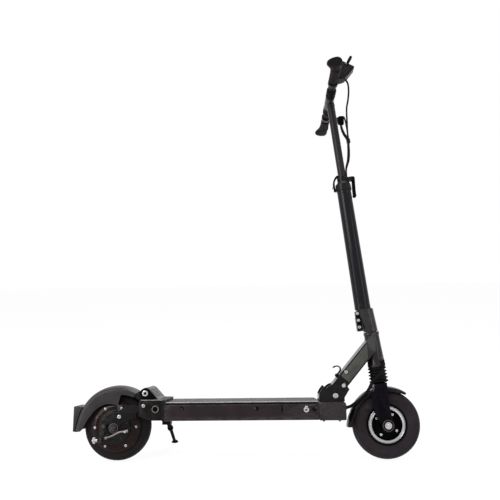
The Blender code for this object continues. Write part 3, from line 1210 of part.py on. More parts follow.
def build_display(bar, trigger, button, finish):
    """The display with its finger throttle, clamped on the right half of the bar."""
    outline = rounded([
        (0.0120, -0.0020, 0.002), (0.0325, 0.0010, 0.004), (0.0455, 0.0095, 0.004), (0.0665, 0.0300, 0.003),
        (0.0665, 0.0340, 0.003), (0.0350, 0.0560, 0.005), (*SCREEN_TOP, 0.002), (*SCREEN_FOOT, 0.002),
        (0.0090, 0.0060, 0.002),
    ], steps=3)
    body = bevelled(plate(outline, -0.1045, -0.0690), 0.0012, 1, 60)
    clamp = rod((0, -0.0900, 0), (0, -0.0740, 0), BAR_RADIUS + 0.0045, segments=20)
    body = cut(join(body, clamp), rod((0, -0.2, 0), (0, 0, 0), BAR_RADIUS + SEAT, segments=20))
    face = screen_frame()
    screen = moved(box((0.0110, 0.0365), (-0.0990, -0.0725), (-0.0012, 0.01)), face)
    socket = moved(rod((0.0058, -0.0950, -0.0058), (0.0058, -0.0950, 0.01), 0.0034), face)
    px, pz = TRIGGER_PIVOT
    sweep = [(px, pz)] + arc((px, pz), 0.050, 31, 109, 6)
    slot = plate(sweep, -0.1200, -0.0875)
    hub = rod((px, -0.1200, pz), (px, -0.0875, pz), 0.0048)
    hole = rod((px, -0.0900, pz), (px, -0.0815, pz), 0.0024, segments=14)
    piece("display_housing", bar, finish["plastic"], cut(body, screen, socket, join(slot, hub), hole))

    path = [(0.0005, 0.0005), (0.0050, 0.0090), (0.0090, 0.0175), (0.0190, 0.0310)]
    paddle = bevelled(plate(strip(path, 0.0036), -0.1040, -0.0882), 0.0007)
    drum = rod((0, -0.1040, 0), (0, -0.0882, 0), 0.0042)
    pin = rod((0, -0.0900, 0), (0, -0.0822, 0), 0.0020, segments=14)
    piece("throttle_trigger", trigger, finish["plastic"], join(paddle, drum, pin))

    cap = rod((0, 0, -0.0036), (0, 0, 0.0014), 0.0030, 0.0028)
    piece("display_button", button, finish["button"], cap)


def build_brake_lever(bar, lever, finish):
    """Perch and lever on the left half of the bar. Their plane tilts forward and down."""
    tilt = turn(BRAKE_TILT, "Y")
    outline = rounded([(0.0090, 0.0700, 0), (0.0440, 0.0700, 0.003), (0.0540, 0.0750, 0.004),
                       (0.0560, 0.0850, 0.004), (0.0440, 0.0920, 0.004), (0.0090, 0.0920, 0)], steps=3)
    body = plate(outline, -0.0070, 0.0070, axis="Z")
    adjuster = rod((0.0420, 0.0580, 0), (0.0420, 0.0715, 0), 0.0044, segments=16)
    body = join(body, adjuster)
    jaw = box((0.0260, 0.07), (0.0717, 0.0990), (-0.0051, 0.0051))
    wire = rod((0.0420, 0.05, 0), (0.0420, 0.08, 0), 0.0014, segments=10)
    e, d = BRAKE_PIVOT
    hole = rod((e, d, -0.02), (e, d, 0.02), 0.0023, segments=12)
    body = moved(cut(body, jaw, wire, hole), tilt)
    clamp = rod((0, 0.0720, 0), (0, 0.0880, 0), BAR_RADIUS + 0.0045, segments=20)
    body = cut(join(body, clamp), rod((0, 0, 0), (0, 0.2, 0), BAR_RADIUS + SEAT, segments=20))
    piece("brake_perch", bar, finish["plastic"], body)

    path = [(0.0, 0.0), (0.0060, 0.0130), (0.0085, 0.0300), (0.0090, 0.0560), (0.0098, 0.0900),
            (0.0135, 0.1100)]
    blade = bevelled(plate(strip(path, 0.0052), -0.0045, 0.0045, axis="Z"), 0.0010, 1, 60)
    hub = rod((0, 0, -0.0048), (0, 0, 0.0048), 0.0052)
    cam = rod((-0.0030, -0.0040, -0.0045), (-0.0030, -0.0040, 0.0045), 0.0034, segments=16)
    tip = rod((0.0135, 0.1100, -0.0050), (0.0135, 0.1100, 0.0050), 0.0042, segments=16)
    pin = rod((0, 0, -0.0085), (0, 0, 0.0085), 0.0020, segments=12)
    piece("brake_lever", lever, finish["black"], join(blade, hub, cam, tip, pin))


# Cords that the scooter holds all the way

def build_cords(mast, deck, finish):
    up = steer_matrix()
    bar = BAR_HEIGHT
    tie = bar - 0.1410
    over = COLLAR_HIGH + 0.0570
    mouth = COLLAR_HIGH + 0.0220
    inside = COLUMN_HIGH - 0.0180
    display = [(0.0249, -0.1390, bar + 0.0048), (0.0272, -0.1383, bar + 0.0010), (0.0300, -0.1370, bar - 0.0040),
               (0.0345, -0.1270, bar - 0.0170), (0.0335, -0.0950, bar - 0.0400), (0.0290, -0.0600, bar - 0.0540),
               (0.0280, -0.0300, bar - 0.0850), (0.0250, -0.0044, tie), (0.0150, -0.0042, over),
               (0.0034, -0.0042, mouth), (0.0032, -0.0042, inside)]
    brake = [(0.0242, 0.1175, bar - 0.0164), (0.0242, 0.1125, bar - 0.0164), (0.0400, 0.0900, bar - 0.0480),
             (0.0340, 0.0450, bar - 0.0910), (0.0252, 0.0004, tie), (0.0152, 0.0, over), (0.0034, 0.0, mouth),
             (0.0032, 0.0, inside)]
    cords = [tube(route[:1] + smooth_path(route[1:], 0.0210), CABLE_RADIUS, 2) for route in (display, brake)]
    band = box((0.0214, 0.0286), (-0.0078, 0.0038), (tie - 0.0018, tie + 0.0018))
    piece("bar_cables", mast, finish["cord"], join(*cords, band))

    out = Vector((cos(radians(-55)), sin(radians(-55)), 0))
    route = [out * 0.0205 + Vector((0, 0, 0.1933)), out * 0.0265 + Vector((0, 0, 0.1868)),
             out * 0.0325 + Vector((0, 0, 0.1803)), out * 0.0385 + Vector((0, 0, 0.1670)),
             Vector((0.0110, -0.0380, 0.1520)), Vector((-0.0100, -0.0390, 0.1390)),
             Vector((-0.0310, -0.0390, 0.1210)), Vector((-0.0410, -0.0380, 0.1075))]
    route = [up @ point for point in route]
    route = route + [Vector((FRONT_AXLE_X - 0.0680, -0.0355, 0.1830)),
                     Vector((FRONT_AXLE_X - 0.0880, -0.0335, 0.1670)),
                     Vector((NOSE_FRONT + 0.0140, -0.0305, 0.1535)), Vector((NOSE_FRONT - 0.0060, -0.0300, 0.1500))]
    piece("front_harness", deck, finish["cord"], tube(smooth_path(route, 0.0130), HARNESS_RADIUS, 2))

    route = [(-0.3655, -0.0660, 0.0960), (-0.3520, -0.0664, 0.1060), (-0.3430, -0.0672, 0.1250),
             (-0.3420, -0.0684, 0.1420), (-0.3345, -0.0690, 0.1495), (-0.3100, -0.0690, 0.1500)]
    piece("rear_brake_cable", deck, finish["cord"], tube(smooth_path(route, 0.0090), CABLE_RADIUS + 0.0004, 2))


def make_finishes():
    black = (0.012, 0.012, 0.013)
    return {
        "deck": material("deck_black", (0.018, 0.018, 0.020), 0.52, 0.35),
        "mat": material("grip_mat_grey", (0.030, 0.030, 0.032), 0.92),
        "casting": material("cast_black", black, 0.58, 0.30),
        "battery": material("battery_blue", (0.020, 0.045, 0.120), 0.60),
        "steel_black": material("plated_black", (0.014, 0.014, 0.015), 0.42, 0.60),
        "bright": material("bright_steel", (0.62, 0.62, 0.63), 0.28, 1.0),
        "rubber": material("black_rubber", (0.016, 0.016, 0.017), 0.78),
        "footrest": material("footrest_grey", (0.060, 0.060, 0.064), 0.80),
        "plastic": material("black_plastic", (0.017, 0.017, 0.018), 0.55),
        "lens": material("red_lens", (0.160, 0.006, 0.008), 0.18),
        "copper": material("stator_copper", (0.45, 0.20, 0.09), 0.42, 0.80),
        "tyre": material("tyre_black", (0.014, 0.014, 0.015), 0.82),
        "hub": material("hub_dark", (0.020, 0.018, 0.018), 0.38, 0.50),
        "neck": material("neck_grey", (0.055, 0.060, 0.055), 0.40, 0.55),
        "black": material("painted_black", (0.015, 0.015, 0.017), 0.40, 0.20),
        "column": material("column_black", (0.016, 0.016, 0.022), 0.36, 0.25),
        "fork": material("fork_black", (0.012, 0.011, 0.020), 0.34, 0.30),
        "rim": material("polished_rim", (0.55, 0.55, 0.57), 0.24, 1.0),
        "bar": material("bar_black", black, 0.34, 0.40),
        "sleeve": material("sleeve_black", (0.020, 0.020, 0.022), 0.30, 0.50),
        "grip": material("grip_rubber", (0.022, 0.022, 0.023), 0.86),
        "button": material("button_grey", (0.080, 0.080, 0.085), 0.60),
        "cord": material("cord_black", (0.010, 0.010, 0.011), 0.50),
    }


def make_frames():
    """One empty for the scooter's lean, then one on every joint."""
    frames = {}
    stand = frame("stand", None, Matrix.Identity(4))
    lean = lean_angle()
    stand.matrix_basis = at(0, 0, TYRE_CROWN_RADIUS * (1 - cos(radians(lean)))) @ turn(-lean, "X")
    frames["stand"] = stand

    def add(name, parent, matrix):
        frames[name] = frame(name, frames[parent], matrix)

    up = steer_matrix()
    neck = neck_matrix()
    add("deck", "stand", Matrix.Identity(4))
    add("kickstand_pivot", "deck", kick_frame())
    add("charge_cap_pivot", "deck", at(CHARGE_X, -DECK_HALF - CHARGE_HINGE, CHARGE_Z + CHARGE_RADIUS + 0.0005))
    add("swing_pivot", "deck", at(SWING_X, 0, SWING_Z))
    add("rear_axle_line", "swing_pivot", at(REAR_AXLE_X, 0, WHEEL_RADIUS))
    add("brake_arm_pivot", "swing_pivot", at(REAR_AXLE_X - 0.0285, 0, WHEEL_RADIUS + 0.006))
    add("neck_pivot", "deck", neck)
    add("lock_pin_line", "neck_pivot", neck @ at(LOCK_REACH, 0, 0))
    add("release_pivot", "neck_pivot", neck @ at(RELEASE_S, 0, RELEASE_T))
    add("steering_axis", "neck_pivot", up)
    add("quick_release_pivot", "steering_axis", up @ at(QUICK_PIVOT[0], 0, QUICK_PIVOT[1]))
    add("latch_pivot", "steering_axis", up @ at(LATCH_PIVOT[0], 0, LATCH_PIVOT[1]))
    add("fork_slide", "steering_axis", up)
    add("front_axle_line", "fork_slide", up)
    add("mast_slide", "steering_axis", up)
    for side, word in ((-1, "right"), (1, "left")):
        pin = up @ at(BAR_OFFSET, side * BAR_PIVOT, BAR_HEIGHT)
        add("bar_pivot_" + word, "mast_slide", pin)
        add("sleeve_line_" + word, "bar_pivot_" + word, pin)
    right = up @ at(BAR_OFFSET, -BAR_PIVOT, BAR_HEIGHT)
    left = up @ at(BAR_OFFSET, BAR_PIVOT, BAR_HEIGHT)
    add("trigger_pivot", "bar_pivot_right", right @ at(TRIGGER_PIVOT[0], 0, TRIGGER_PIVOT[1]))
    add("button_line", "bar_pivot_right", right @ screen_frame() @ at(0.0058, -0.0950, 0))
    add("brake_lever_pivot", "bar_pivot_left", left @ turn(BRAKE_TILT, "Y") @ at(*BRAKE_PIVOT, 0))
    return frames


def build_scooter():
    global PARTS
    clear_scene()
    PARTS = new_collection("electric_scooter")
    finish = make_finishes()
    f = make_frames()
    build_deck(f["deck"], finish)
    build_nose(f["deck"], finish)
    build_bracket(f["deck"], finish)
    build_rear_block(f["deck"], finish)
    build_footrest(f["deck"], finish)
    build_kickstand(f["kickstand_pivot"], finish)
    build_charge_cap(f["charge_cap_pivot"], finish)
    build_swingarm(f["swing_pivot"], finish)
    build_rear_fender(f["swing_pivot"], finish)
    build_rear_axle(f["swing_pivot"], finish)
    build_drum_brake(f["swing_pivot"], f["brake_arm_pivot"], finish)
    build_rear_wheel(f["rear_axle_line"], finish)
    build_neck(f["neck_pivot"], finish)
    build_head_tube(f["neck_pivot"], finish)
    build_lock(f["lock_pin_line"], f["release_pivot"], finish)
    build_column(f["steering_axis"], finish)
    build_collar(f["steering_axis"], finish)
    build_quick_release(f["quick_release_pivot"], finish)
    build_latch(f["latch_pivot"], finish)
    build_fork(f["fork_slide"], finish)
    build_bellows(f["fork_slide"], finish)
    build_front_fender(f["fork_slide"], finish)
    build_front_axle(f["fork_slide"], finish)
    build_front_wheel(f["front_axle_line"], finish)
    build_mast(f["mast_slide"], finish)
    for side, word in ((-1, "right"), (1, "left")):
        build_bar(f["bar_pivot_" + word], side, "bar_" + word, finish)
        build_sleeve(f["sleeve_line_" + word], side, "sleeve_" + word, finish)
        build_grip(f["bar_pivot_" + word], side, "grip_" + word, finish)
    build_display(f["bar_pivot_right"], f["trigger_pivot"], f["button_line"], finish)
    build_brake_lever(f["bar_pivot_left"], f["brake_lever_pivot"], finish)
    build_cords(f["mast_slide"], f["deck"], finish)


build_scooter()
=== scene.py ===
# %% [markdown]
# # A folding electric scooter, dressed for its picture
#
# The imported model already has the scooter's solids in their right places. This script loads
# them, lights a small white studio round them, mixes the finishes, and then makes each visible
# piece again with rounder edges and finer parts. Every new piece but the cables rides on a body
# of the model, so it still folds, steers, slides and rolls.

# %% Load the frame
from math import atan2, cos, degrees, pi, radians, sin

import bmesh
import bpy
from mathutils import Matrix, Vector


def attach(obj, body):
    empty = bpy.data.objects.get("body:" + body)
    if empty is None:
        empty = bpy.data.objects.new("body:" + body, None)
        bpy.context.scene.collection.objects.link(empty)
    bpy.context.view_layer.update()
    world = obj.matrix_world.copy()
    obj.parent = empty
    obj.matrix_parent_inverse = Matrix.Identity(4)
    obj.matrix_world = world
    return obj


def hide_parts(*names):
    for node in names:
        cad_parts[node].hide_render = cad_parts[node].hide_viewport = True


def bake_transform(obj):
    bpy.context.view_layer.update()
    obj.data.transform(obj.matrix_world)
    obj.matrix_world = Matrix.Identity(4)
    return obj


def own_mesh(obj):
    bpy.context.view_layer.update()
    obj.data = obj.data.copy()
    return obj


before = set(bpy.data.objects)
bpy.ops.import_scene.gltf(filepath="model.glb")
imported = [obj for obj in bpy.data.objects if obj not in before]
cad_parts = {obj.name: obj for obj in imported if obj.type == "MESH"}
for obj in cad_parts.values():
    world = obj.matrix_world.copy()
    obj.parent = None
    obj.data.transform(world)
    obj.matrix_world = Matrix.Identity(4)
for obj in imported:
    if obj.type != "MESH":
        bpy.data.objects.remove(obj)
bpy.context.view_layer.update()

# %% [markdown]
# ## Where things are
#
# The scooter leans on its kickstand, so nothing on it is level. It is easier to think of an
# upright scooter: each group of pieces gets its own matrix, which carries points from a
# comfortable local space (a wheel's axle, the steering line, a grip) into the leaning one.

# %% Spaces of the scooter
LEAN = 9.381866474229298
TYRE_CROWN = 0.030
WHEEL_RADIUS = 0.100
FRONT_X, REAR_X = 0.394, -0.410
STEER_TILT = 6.7
FOLD_X, FOLD_Z = 0.244, 0.186
NECK_ANGLE = 49.7
BAR_X, BAR_JOINT, BAR_Z = -0.0145, 0.060, 1.026


def at(x, y, z):
    return Matrix.Translation((x, y, z))


def turn(angle, axis):
    return Matrix.Rotation(radians(angle), 4, axis)


here, stood = Matrix.Identity(4), turn(90, "X")
upright = at(0, 0, TYRE_CROWN * (1 - cos(radians(LEAN)))) @ turn(-LEAN, "X")
front_axle = upright @ at(FRONT_X, 0, WHEEL_RADIUS)
rear_axle = upright @ at(REAR_X, 0, WHEEL_RADIUS)
steering = front_axle @ turn(-STEER_TILT, "Y")
fold = upright @ at(FOLD_X, 0, FOLD_Z)
neck = fold @ turn(-NECK_ANGLE, "Y")
right_bar = steering @ at(BAR_X, -BAR_JOINT, BAR_Z)
left_bar = steering @ at(BAR_X, BAR_JOINT, BAR_Z)
print("steering line from", tuple(round(c, 3) for c in steering.translation))

# %% [markdown]
# ## Camera
#
# The picture was taken from the scooter's right side with a short telephoto, a little above
# the deck. The lens and the place below were worked out from the two axles, the floor and
# the height of the bars, so that the same points land on the same spots of a square frame.

# %% Camera
LENS = 44.2
CAMERA_PLACE = (0.0798, -1.8277, 0.6249)
CAMERA_TURN, CAMERA_ROLL = 0.04363, -0.0195
camera = bpy.data.objects.new("camera", bpy.data.cameras.new("camera"))
bpy.context.scene.collection.objects.link(camera)
camera.data.lens = LENS
camera.data.sensor_width = 36.0
camera.data.clip_start = 0.05
camera.matrix_world = (at(*CAMERA_PLACE) @ Matrix.Rotation(CAMERA_TURN, 4, "Z") @ turn(90, "X")
                       @ Matrix.Rotation(CAMERA_ROLL, 4, "Z"))
bpy.context.scene.camera = camera
print("camera with a lens of", LENS, "mm")

# %% [markdown]
# ## Floor, backdrop and light
#
# A product picture on white needs two things at once: a floor that reads as pure white, and a
# soft shadow under the wheels that proves the scooter stands on it. The floor mixes a white
# diffuse with a white glow that only camera, mirror and glass rays see. The world does the same:
# it is white behind the object and in its reflections, but lights it at a plain level.

# %% Adding shader nodes
def node(tree, kind, inputs=None, **settings):
    """Add a shader node, set its properties, then fill or link its inputs."""
    made = tree.nodes.new(kind)
    for name, value in settings.items():
        setattr(made, name, value)
    for name, value in (inputs or {}).items():
        if isinstance(value, bpy.types.NodeSocket):
            tree.links.new(value, made.inputs[name])
        else:
            made.inputs[name].default_value = value
    return made


def seen_directly(tree):
    """One for camera, mirror and glass rays, nought for the rays that carry light."""
    rays = node(tree, "ShaderNodeLightPath")
    some = node(tree, "ShaderNodeMath", {0: rays.outputs["Is Camera Ray"], 1: rays.outputs["Is Glossy Ray"]},
                operation="MAXIMUM")
    return node(tree, "ShaderNodeMath", {0: some.outputs[0], 1: rays.outputs["Is Transmission Ray"]},
                operation="MAXIMUM").outputs[0]


# %% [markdown]
# World and floor use the same trick: each is one thing to the rays that make the picture and
# another to the rays that carry light, and a light path node tells them apart.

# %% World and floor
WORLD_LIGHT = 0.42
FLOOR_TONE, FLOOR_GLOW, GLOW_SHARE = 0.92, 1.08, 0.86
FLOOR_HALF = 9.0
WHITE = (1, 1, 1, 1)
bpy.context.scene.view_settings.view_transform = "Standard"

world = bpy.data.worlds.new("studio")
world.use_nodes = True
bpy.context.scene.world = world
tree = world.node_tree
tree.nodes.clear()
level = node(tree, "ShaderNodeMapRange", {"Value": seen_directly(tree), "To Min": WORLD_LIGHT, "To Max": 1.0})
sky = node(tree, "ShaderNodeBackground", {"Color": WHITE, "Strength": level.outputs[0]})
node(tree, "ShaderNodeOutputWorld", {"Surface": sky.outputs[0]})

floor_finish = bpy.data.materials.new("studio_floor")
floor_finish.use_nodes = True
tree = floor_finish.node_tree
tree.nodes.clear()
matt = node(tree, "ShaderNodeBsdfDiffuse", {"Color": (FLOOR_TONE, FLOOR_TONE, FLOOR_TONE, 1)})
glow = node(tree, "ShaderNodeEmission", {"Color": WHITE, "Strength": FLOOR_GLOW})
share = node(tree, "ShaderNodeMath", {0: seen_directly(tree), 1: GLOW_SHARE}, operation="MULTIPLY")
both = node(tree, "ShaderNodeMixShader", {"Fac": share.outputs[0], 1: matt.outputs[0], 2: glow.outputs[0]})
node(tree, "ShaderNodeOutputMaterial", {"Surface": both.outputs[0]})

bm = bmesh.new()
bmesh.ops.create_grid(bm, x_segments=2, y_segments=2, size=FLOOR_HALF)
mesh = bpy.data.meshes.new("floor")
bm.to_mesh(mesh)
bm.free()
mesh.materials.append(floor_finish)
floor = bpy.data.objects.new("floor", mesh)
bpy.context.scene.collection.objects.link(floor)
print("white world and floor")

# %% [markdown]
# Black paint shows its shape only by what it reflects. Five large soft lamps draw long lights
# along the tubes: the key and the strip stand on the viewer's side, the fill beyond the front
# wheel, one lamp above, and one behind to part the far side from the white.

# %% Lamps
def lamp(name, place, aim, size, power):
    light = bpy.data.lights.new(name, "AREA")
    light.shape = "RECTANGLE"
    light.size, light.size_y = size
    light.energy = power
    holder = bpy.data.objects.new(name, light)
    bpy.context.scene.collection.objects.link(holder)
    way = Vector(aim) - Vector(place)
    holder.matrix_world = Matrix.Translation(place) @ way.to_track_quat("-Z", "Y").to_matrix().to_4x4()


lamp("key_lamp", (-1.9, -2.2, 2.1), (0, 0, 0.45), (0.9, 1.6), 34)
lamp("strip_lamp", (-1.5, -0.9, 0.9), (0.2, 0, 0.6), (0.22, 1.7), 9)
lamp("fill_lamp", (2.3, -1.7, 1.2), (0, 0, 0.4), (0.8, 1.6), 10)
lamp("top_lamp", (-0.2, 0.3, 2.8), (0, 0, 0.2), (2.0, 0.9), 26)
lamp("back_lamp", (0.6, 2.4, 1.6), (0, 0, 0.5), (1.8, 1.0), 12)
print("five lamps")

# %% [markdown]
# ## Finishes
#
# Nearly everything on this scooter is black, and each black is a different stuff: powder coat
# on the deck, gloss paint on the tubes, moulded plastic, rubber, plated steel. The builder
# below gives every finish the same bones and different numbers. A fine noise is the grain and
# the bump, a broad noise drifts the colour, a middle one lays faint dust and scuffs, and the
# mesh's own sharpness (pointiness) rubs the edges. Gloss is kept low on the blacks, because
# the studio is white all round and a high value would turn black into grey.

# %% Mixing with nodes
def opaque(tone):
    return (*tone, 1.0)


def blended(tree, amount, first, second):
    return node(tree, "ShaderNodeMix", {0: amount, 6: first, 7: second}, data_type="RGBA").outputs[2]


def spread(tree, value, low, high, to_low=0.0, to_high=1.0):
    return node(tree, "ShaderNodeMapRange", {"Value": value, "From Min": low, "From Max": high,
                                             "To Min": to_low, "To Max": to_high}).outputs[0]


def times(tree, first, second):
    return node(tree, "ShaderNodeMath", {0: first, 1: second}, operation="MULTIPLY").outputs[0]


# %% [markdown]
# The builder itself mixes the colour in layers, from the paint outwards: broad drift, dust,
# rubbed edges, and rings where the part was turned. Dust also dulls the shine, as it does on
# real paint, so its noise goes into the roughness too.

# %% The finish builder
def finish(name, tone, rough, metal=0.0, gloss=0.3, drift=0.3, grain=1500.0, bump=0.12, rub=0.5,
           rubbed=None, dust=0.25, dusty=None, coat=0.0, coat_rough=0.1, scuff_axes=(1, 1, 1), space=None,
           turned=0.0, pitch=900.0):
    """Mix a finish: tone is its colour, rough its roughness, rub its worn edges, dust its bloom.

    space centres and turns the patterns on a part; turned cuts fine rings round its Y axis."""
    made = bpy.data.materials.new(name)
    made.use_nodes = True
    tree = made.node_tree
    shader = tree.nodes["Principled BSDF"]
    place = node(tree, "ShaderNodeTexCoord").outputs["Object"]
    if space is not None:
        centre = node(tree, "ShaderNodeMapping", {"Vector": place}, vector_type="TEXTURE")
        centre.inputs["Location"].default_value = space.to_translation()
        centre.inputs["Rotation"].default_value = space.to_euler("XYZ")
        place = centre.outputs[0]
    fine = node(tree, "ShaderNodeTexNoise", {"Vector": place, "Scale": grain, "Detail": 5.0}).outputs["Fac"]
    broad = node(tree, "ShaderNodeTexNoise", {"Vector": place, "Scale": 22.0, "Detail": 3.0}).outputs["Fac"]
    drawn = node(tree, "ShaderNodeMapping", {"Vector": place, "Scale": scuff_axes}).outputs[0]
    scuffs = node(tree, "ShaderNodeTexNoise", {"Vector": drawn, "Scale": 150.0, "Detail": 8.0,
                                               "Roughness": 0.65}).outputs["Fac"]
    deep = opaque(c * (1 - drift) for c in tone)
    pale = opaque(min(c * (1 + drift), 1.0) for c in tone)
    colour = blended(tree, spread(tree, broad, 0.35, 0.65), deep, pale)
    bloom = times(tree, spread(tree, scuffs, 0.5, 0.72), dust)
    colour = blended(tree, bloom, colour, opaque(dusty or (min(c * 1.8 + 0.012, 1.0) for c in tone)))
    sharp = node(tree, "ShaderNodeNewGeometry").outputs["Pointiness"]
    worn = times(tree, times(tree, spread(tree, sharp, 0.515, 0.60), spread(tree, scuffs, 0.38, 0.6)), rub)
    colour = blended(tree, worn, colour, opaque(rubbed or (min(c * 2.6 + 0.03, 1.0) for c in tone)))
    height = fine
    if turned:
        rings = node(tree, "ShaderNodeTexWave", {"Vector": place, "Scale": pitch, "Distortion": 0.6, "Detail": 2.0},
                     wave_type="RINGS", rings_direction="Y").outputs["Fac"]
        height = node(tree, "ShaderNodeMix", {0: turned, 2: fine, 3: rings}).outputs[0]
        shade = tone[0] * 0.5
        colour = blended(tree, spread(tree, rings, 0, 1, 0.0, 0.22 * turned), colour,
                         (shade, shade, shade * 1.02, 1.0))
    sheen = spread(tree, fine, 0.2, 0.8, max(rough - 0.09, 0.03), min(rough + 0.09, 1.0))
    sheen = node(tree, "ShaderNodeMath", {0: sheen, 1: times(tree, bloom, 0.5)}, operation="ADD",
                 use_clamp=True).outputs[0]
    tree.links.new(colour, shader.inputs["Base Color"])
    tree.links.new(sheen, shader.inputs["Roughness"])
    raised = node(tree, "ShaderNodeBump", {"Height": height, "Strength": bump, "Distance": 0.0004})
    tree.links.new(raised.outputs[0], shader.inputs["Normal"])
    shader.inputs["Metallic"].default_value = metal
    shader.inputs["Specular IOR Level"].default_value = gloss
    shader.inputs["Coat Weight"].default_value = coat
    shader.inputs["Coat Roughness"].default_value = coat_rough
    return made


# %% [markdown]
# Each row is a colour, a roughness and what else the finish needs. A colour counts light, so a
# black that looks like charcoal in a picture is only about one part in a hundred here. Most rows
# are a material slot of the model.

# %% The finishes
RECIPES = {
    "deck_black": ((0.0136, 0.0072, 0.0092), 0.40, dict(gloss=0.20, grain=2200, bump=0.2, rub=0.6,
        rubbed=(0.12, 0.12, 0.12), dust=0.10, scuff_axes=(0.25, 1, 1))),
    "grip_mat_grey": ((0.105, 0.105, 0.105), 0.80, dict(gloss=0.3, grain=900, bump=0.9, dust=0.5, drift=0.2,
        dusty=(0.19, 0.19, 0.185))),
    "cast_black": ((0.0055, 0.0044, 0.0038), 0.44, dict(gloss=0.08, grain=1300, bump=0.25, rub=0.6, dust=0.05)),
    "nose_grey": ((0.0165, 0.0128, 0.015), 0.44, dict(gloss=0.21, grain=1300, bump=0.25, rub=0.6, dust=0.12)),
    "pitch_black": ((0.001, 0.0008, 0.0009), 0.50, dict(gloss=0.03, bump=0.1, rub=0.2, dust=0.03)),
    # A light grey that paints the highlight along the deck's top edges.
    "top_edge_highlight_grey": ((0.25, 0.235, 0.24), 0.5, dict(gloss=0.3, drift=0.12, dust=0.3, bump=0.2)),
    "guard_black": ((0.02, 0.0172, 0.0182), 0.40, dict(gloss=0.26, grain=1700, bump=0.2, rub=0.4, dust=0.12)),
    # The rear tyre's rubber: a darker copy of the front tyre's rubber, painted shade on the rear tyre.
    "tyre_painted_shade": ((0.0085, 0.0064, 0.007), 0.66, dict(gloss=0.12, grain=900, bump=0.5, dust=0.3,
        dusty=(0.02, 0.017, 0.018))),
    "tube_black": ((0.0118, 0.0084, 0.0104), 0.25, dict(gloss=0.22, grain=1500, bump=0.08, coat=0.08,
        coat_rough=0.15, rub=0.6, dust=0.06)),
    "battery_blue": ((0.02, 0.07, 0.22), 0.5, dict()),
    "plated_black": ((0.0058, 0.0058, 0.006), 0.34, dict(metal=0.1, gloss=0.16, rub=0.7,
        rubbed=(0.13, 0.13, 0.13), dust=0.08)),
    "bright_steel": ((0.46, 0.46, 0.47), 0.25, dict(metal=1.0, gloss=0.5, drift=0.15, rub=0.3, dust=0.3,
        dusty=(0.2, 0.195, 0.19), rubbed=(0.8, 0.8, 0.8), bump=0.08)),
    "black_rubber": ((0.0062, 0.005, 0.0056), 0.60, dict(gloss=0.12, grain=1000, bump=0.4, dust=0.25)),
    "footrest_grey": ((0.15, 0.15, 0.148), 0.6, dict(gloss=0.25, grain=1400, bump=0.4, dust=0.4,
        dusty=(0.24, 0.23, 0.22), drift=0.15)),
    "black_plastic": ((0.0062, 0.005, 0.0056), 0.42, dict(gloss=0.13, grain=1700, bump=0.3, rub=0.4,
        dust=0.12)),
    "red_lens": ((0.42, 0.008, 0.01), 0.16, dict(gloss=0.5, coat=0.6, coat_rough=0.05, dust=0.1, grain=500,
        bump=0.5, rubbed=(0.6, 0.1, 0.1))),
    "stator_copper": ((0.5, 0.2, 0.1), 0.4, dict(metal=0.9)),
    "tyre_black": ((0.0195, 0.0145, 0.0178), 0.70, dict(gloss=0.17, grain=900, bump=0.5, dust=0.4,
        dusty=(0.034, 0.03, 0.031), space=front_axle)),
    "hub_dark": ((0.0122, 0.0042, 0.0034), 0.24, dict(metal=0.25, gloss=0.13, space=rear_axle, turned=0.5,
        pitch=500, rub=0.7, rubbed=(0.1, 0.072, 0.062), dust=0.1, coat=0.05)),
    "neck_grey": ((0.054, 0.053, 0.048), 0.42, dict(gloss=0.22, grain=1600, bump=0.25, space=neck, dust=0.12,
        scuff_axes=(0.3, 1, 1))),
    "painted_black": ((0.0042, 0.004, 0.0042), 0.25, dict(gloss=0.11, grain=1500, bump=0.1, coat=0.05, rub=0.5,
        dust=0.06)),
    "column_black": ((0.0046, 0.0048, 0.0074), 0.22, dict(gloss=0.13, grain=2000, bump=0.05, coat=0.06,
        space=steering, dust=0.03, drift=0.15, scuff_axes=(1, 1, 0.15))),
    "mast_black": ((0.011, 0.008, 0.01), 0.34, dict(gloss=0.20, grain=2000, bump=0.06, space=steering,
        dust=0.05, drift=0.15, scuff_axes=(1, 1, 0.15))),
    "dull_steel": ((0.17, 0.145, 0.135), 0.36, dict(metal=0.9, gloss=0.4, drift=0.2, dust=0.3,
        dusty=(0.09, 0.085, 0.08), bump=0.1)),
    "fork_black": ((0.0022, 0.0013, 0.0036), 0.30, dict(gloss=0.04, grain=1700, bump=0.08, coat=0.02,
        dust=0.03, rub=0.3, rubbed=(0.04, 0.035, 0.04), space=steering)),
    "polished_rim": ((0.5, 0.5, 0.5), 0.19, dict(metal=1.0, gloss=0.5, drift=0.12, bump=0.1, rub=0.2, dust=0.3,
        dusty=(0.22, 0.22, 0.21), space=front_axle, turned=0.6, pitch=700)),
    "bar_black": ((0.0026, 0.002, 0.0024), 0.42, dict(gloss=0.03, grain=1700, bump=0.12, coat=0.01, dust=0.06)),
    "sleeve_black": ((0.0034, 0.0026, 0.0031), 0.46, dict(gloss=0.03, space=right_bar, turned=0.3, rub=0.5,
        rubbed=(0.1, 0.09, 0.095), dust=0.05)),
    "grip_rubber": ((0.0062, 0.0036, 0.0054), 0.60, dict(gloss=0.10, grain=1100, bump=0.45, dust=0.2)),
    "button_grey": ((0.2, 0.2, 0.205), 0.5, dict(drift=0.1)),
    "cord_black": ((0.003, 0.0026, 0.003), 0.5, dict(gloss=0.06, grain=1500, bump=0.2, dust=0.08)),
    "window_glass": ((0.006, 0.008, 0.01), 0.07, dict(gloss=0.5, grain=400, bump=0.02, dust=0.08, drift=0.1,
        coat=0.6, coat_rough=0.03)),
}
FINISHES = {name: finish(name, tone, rough, **more) for name, (tone, rough, more) in RECIPES.items()}
SLOTS = {}
for name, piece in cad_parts.items():
    for holder in piece.material_slots:
        SLOTS[name] = holder.material.name.split(".")[0]
        holder.material = FINISHES[SLOTS[name]]
print("mixed", len(FINISHES), "finishes")

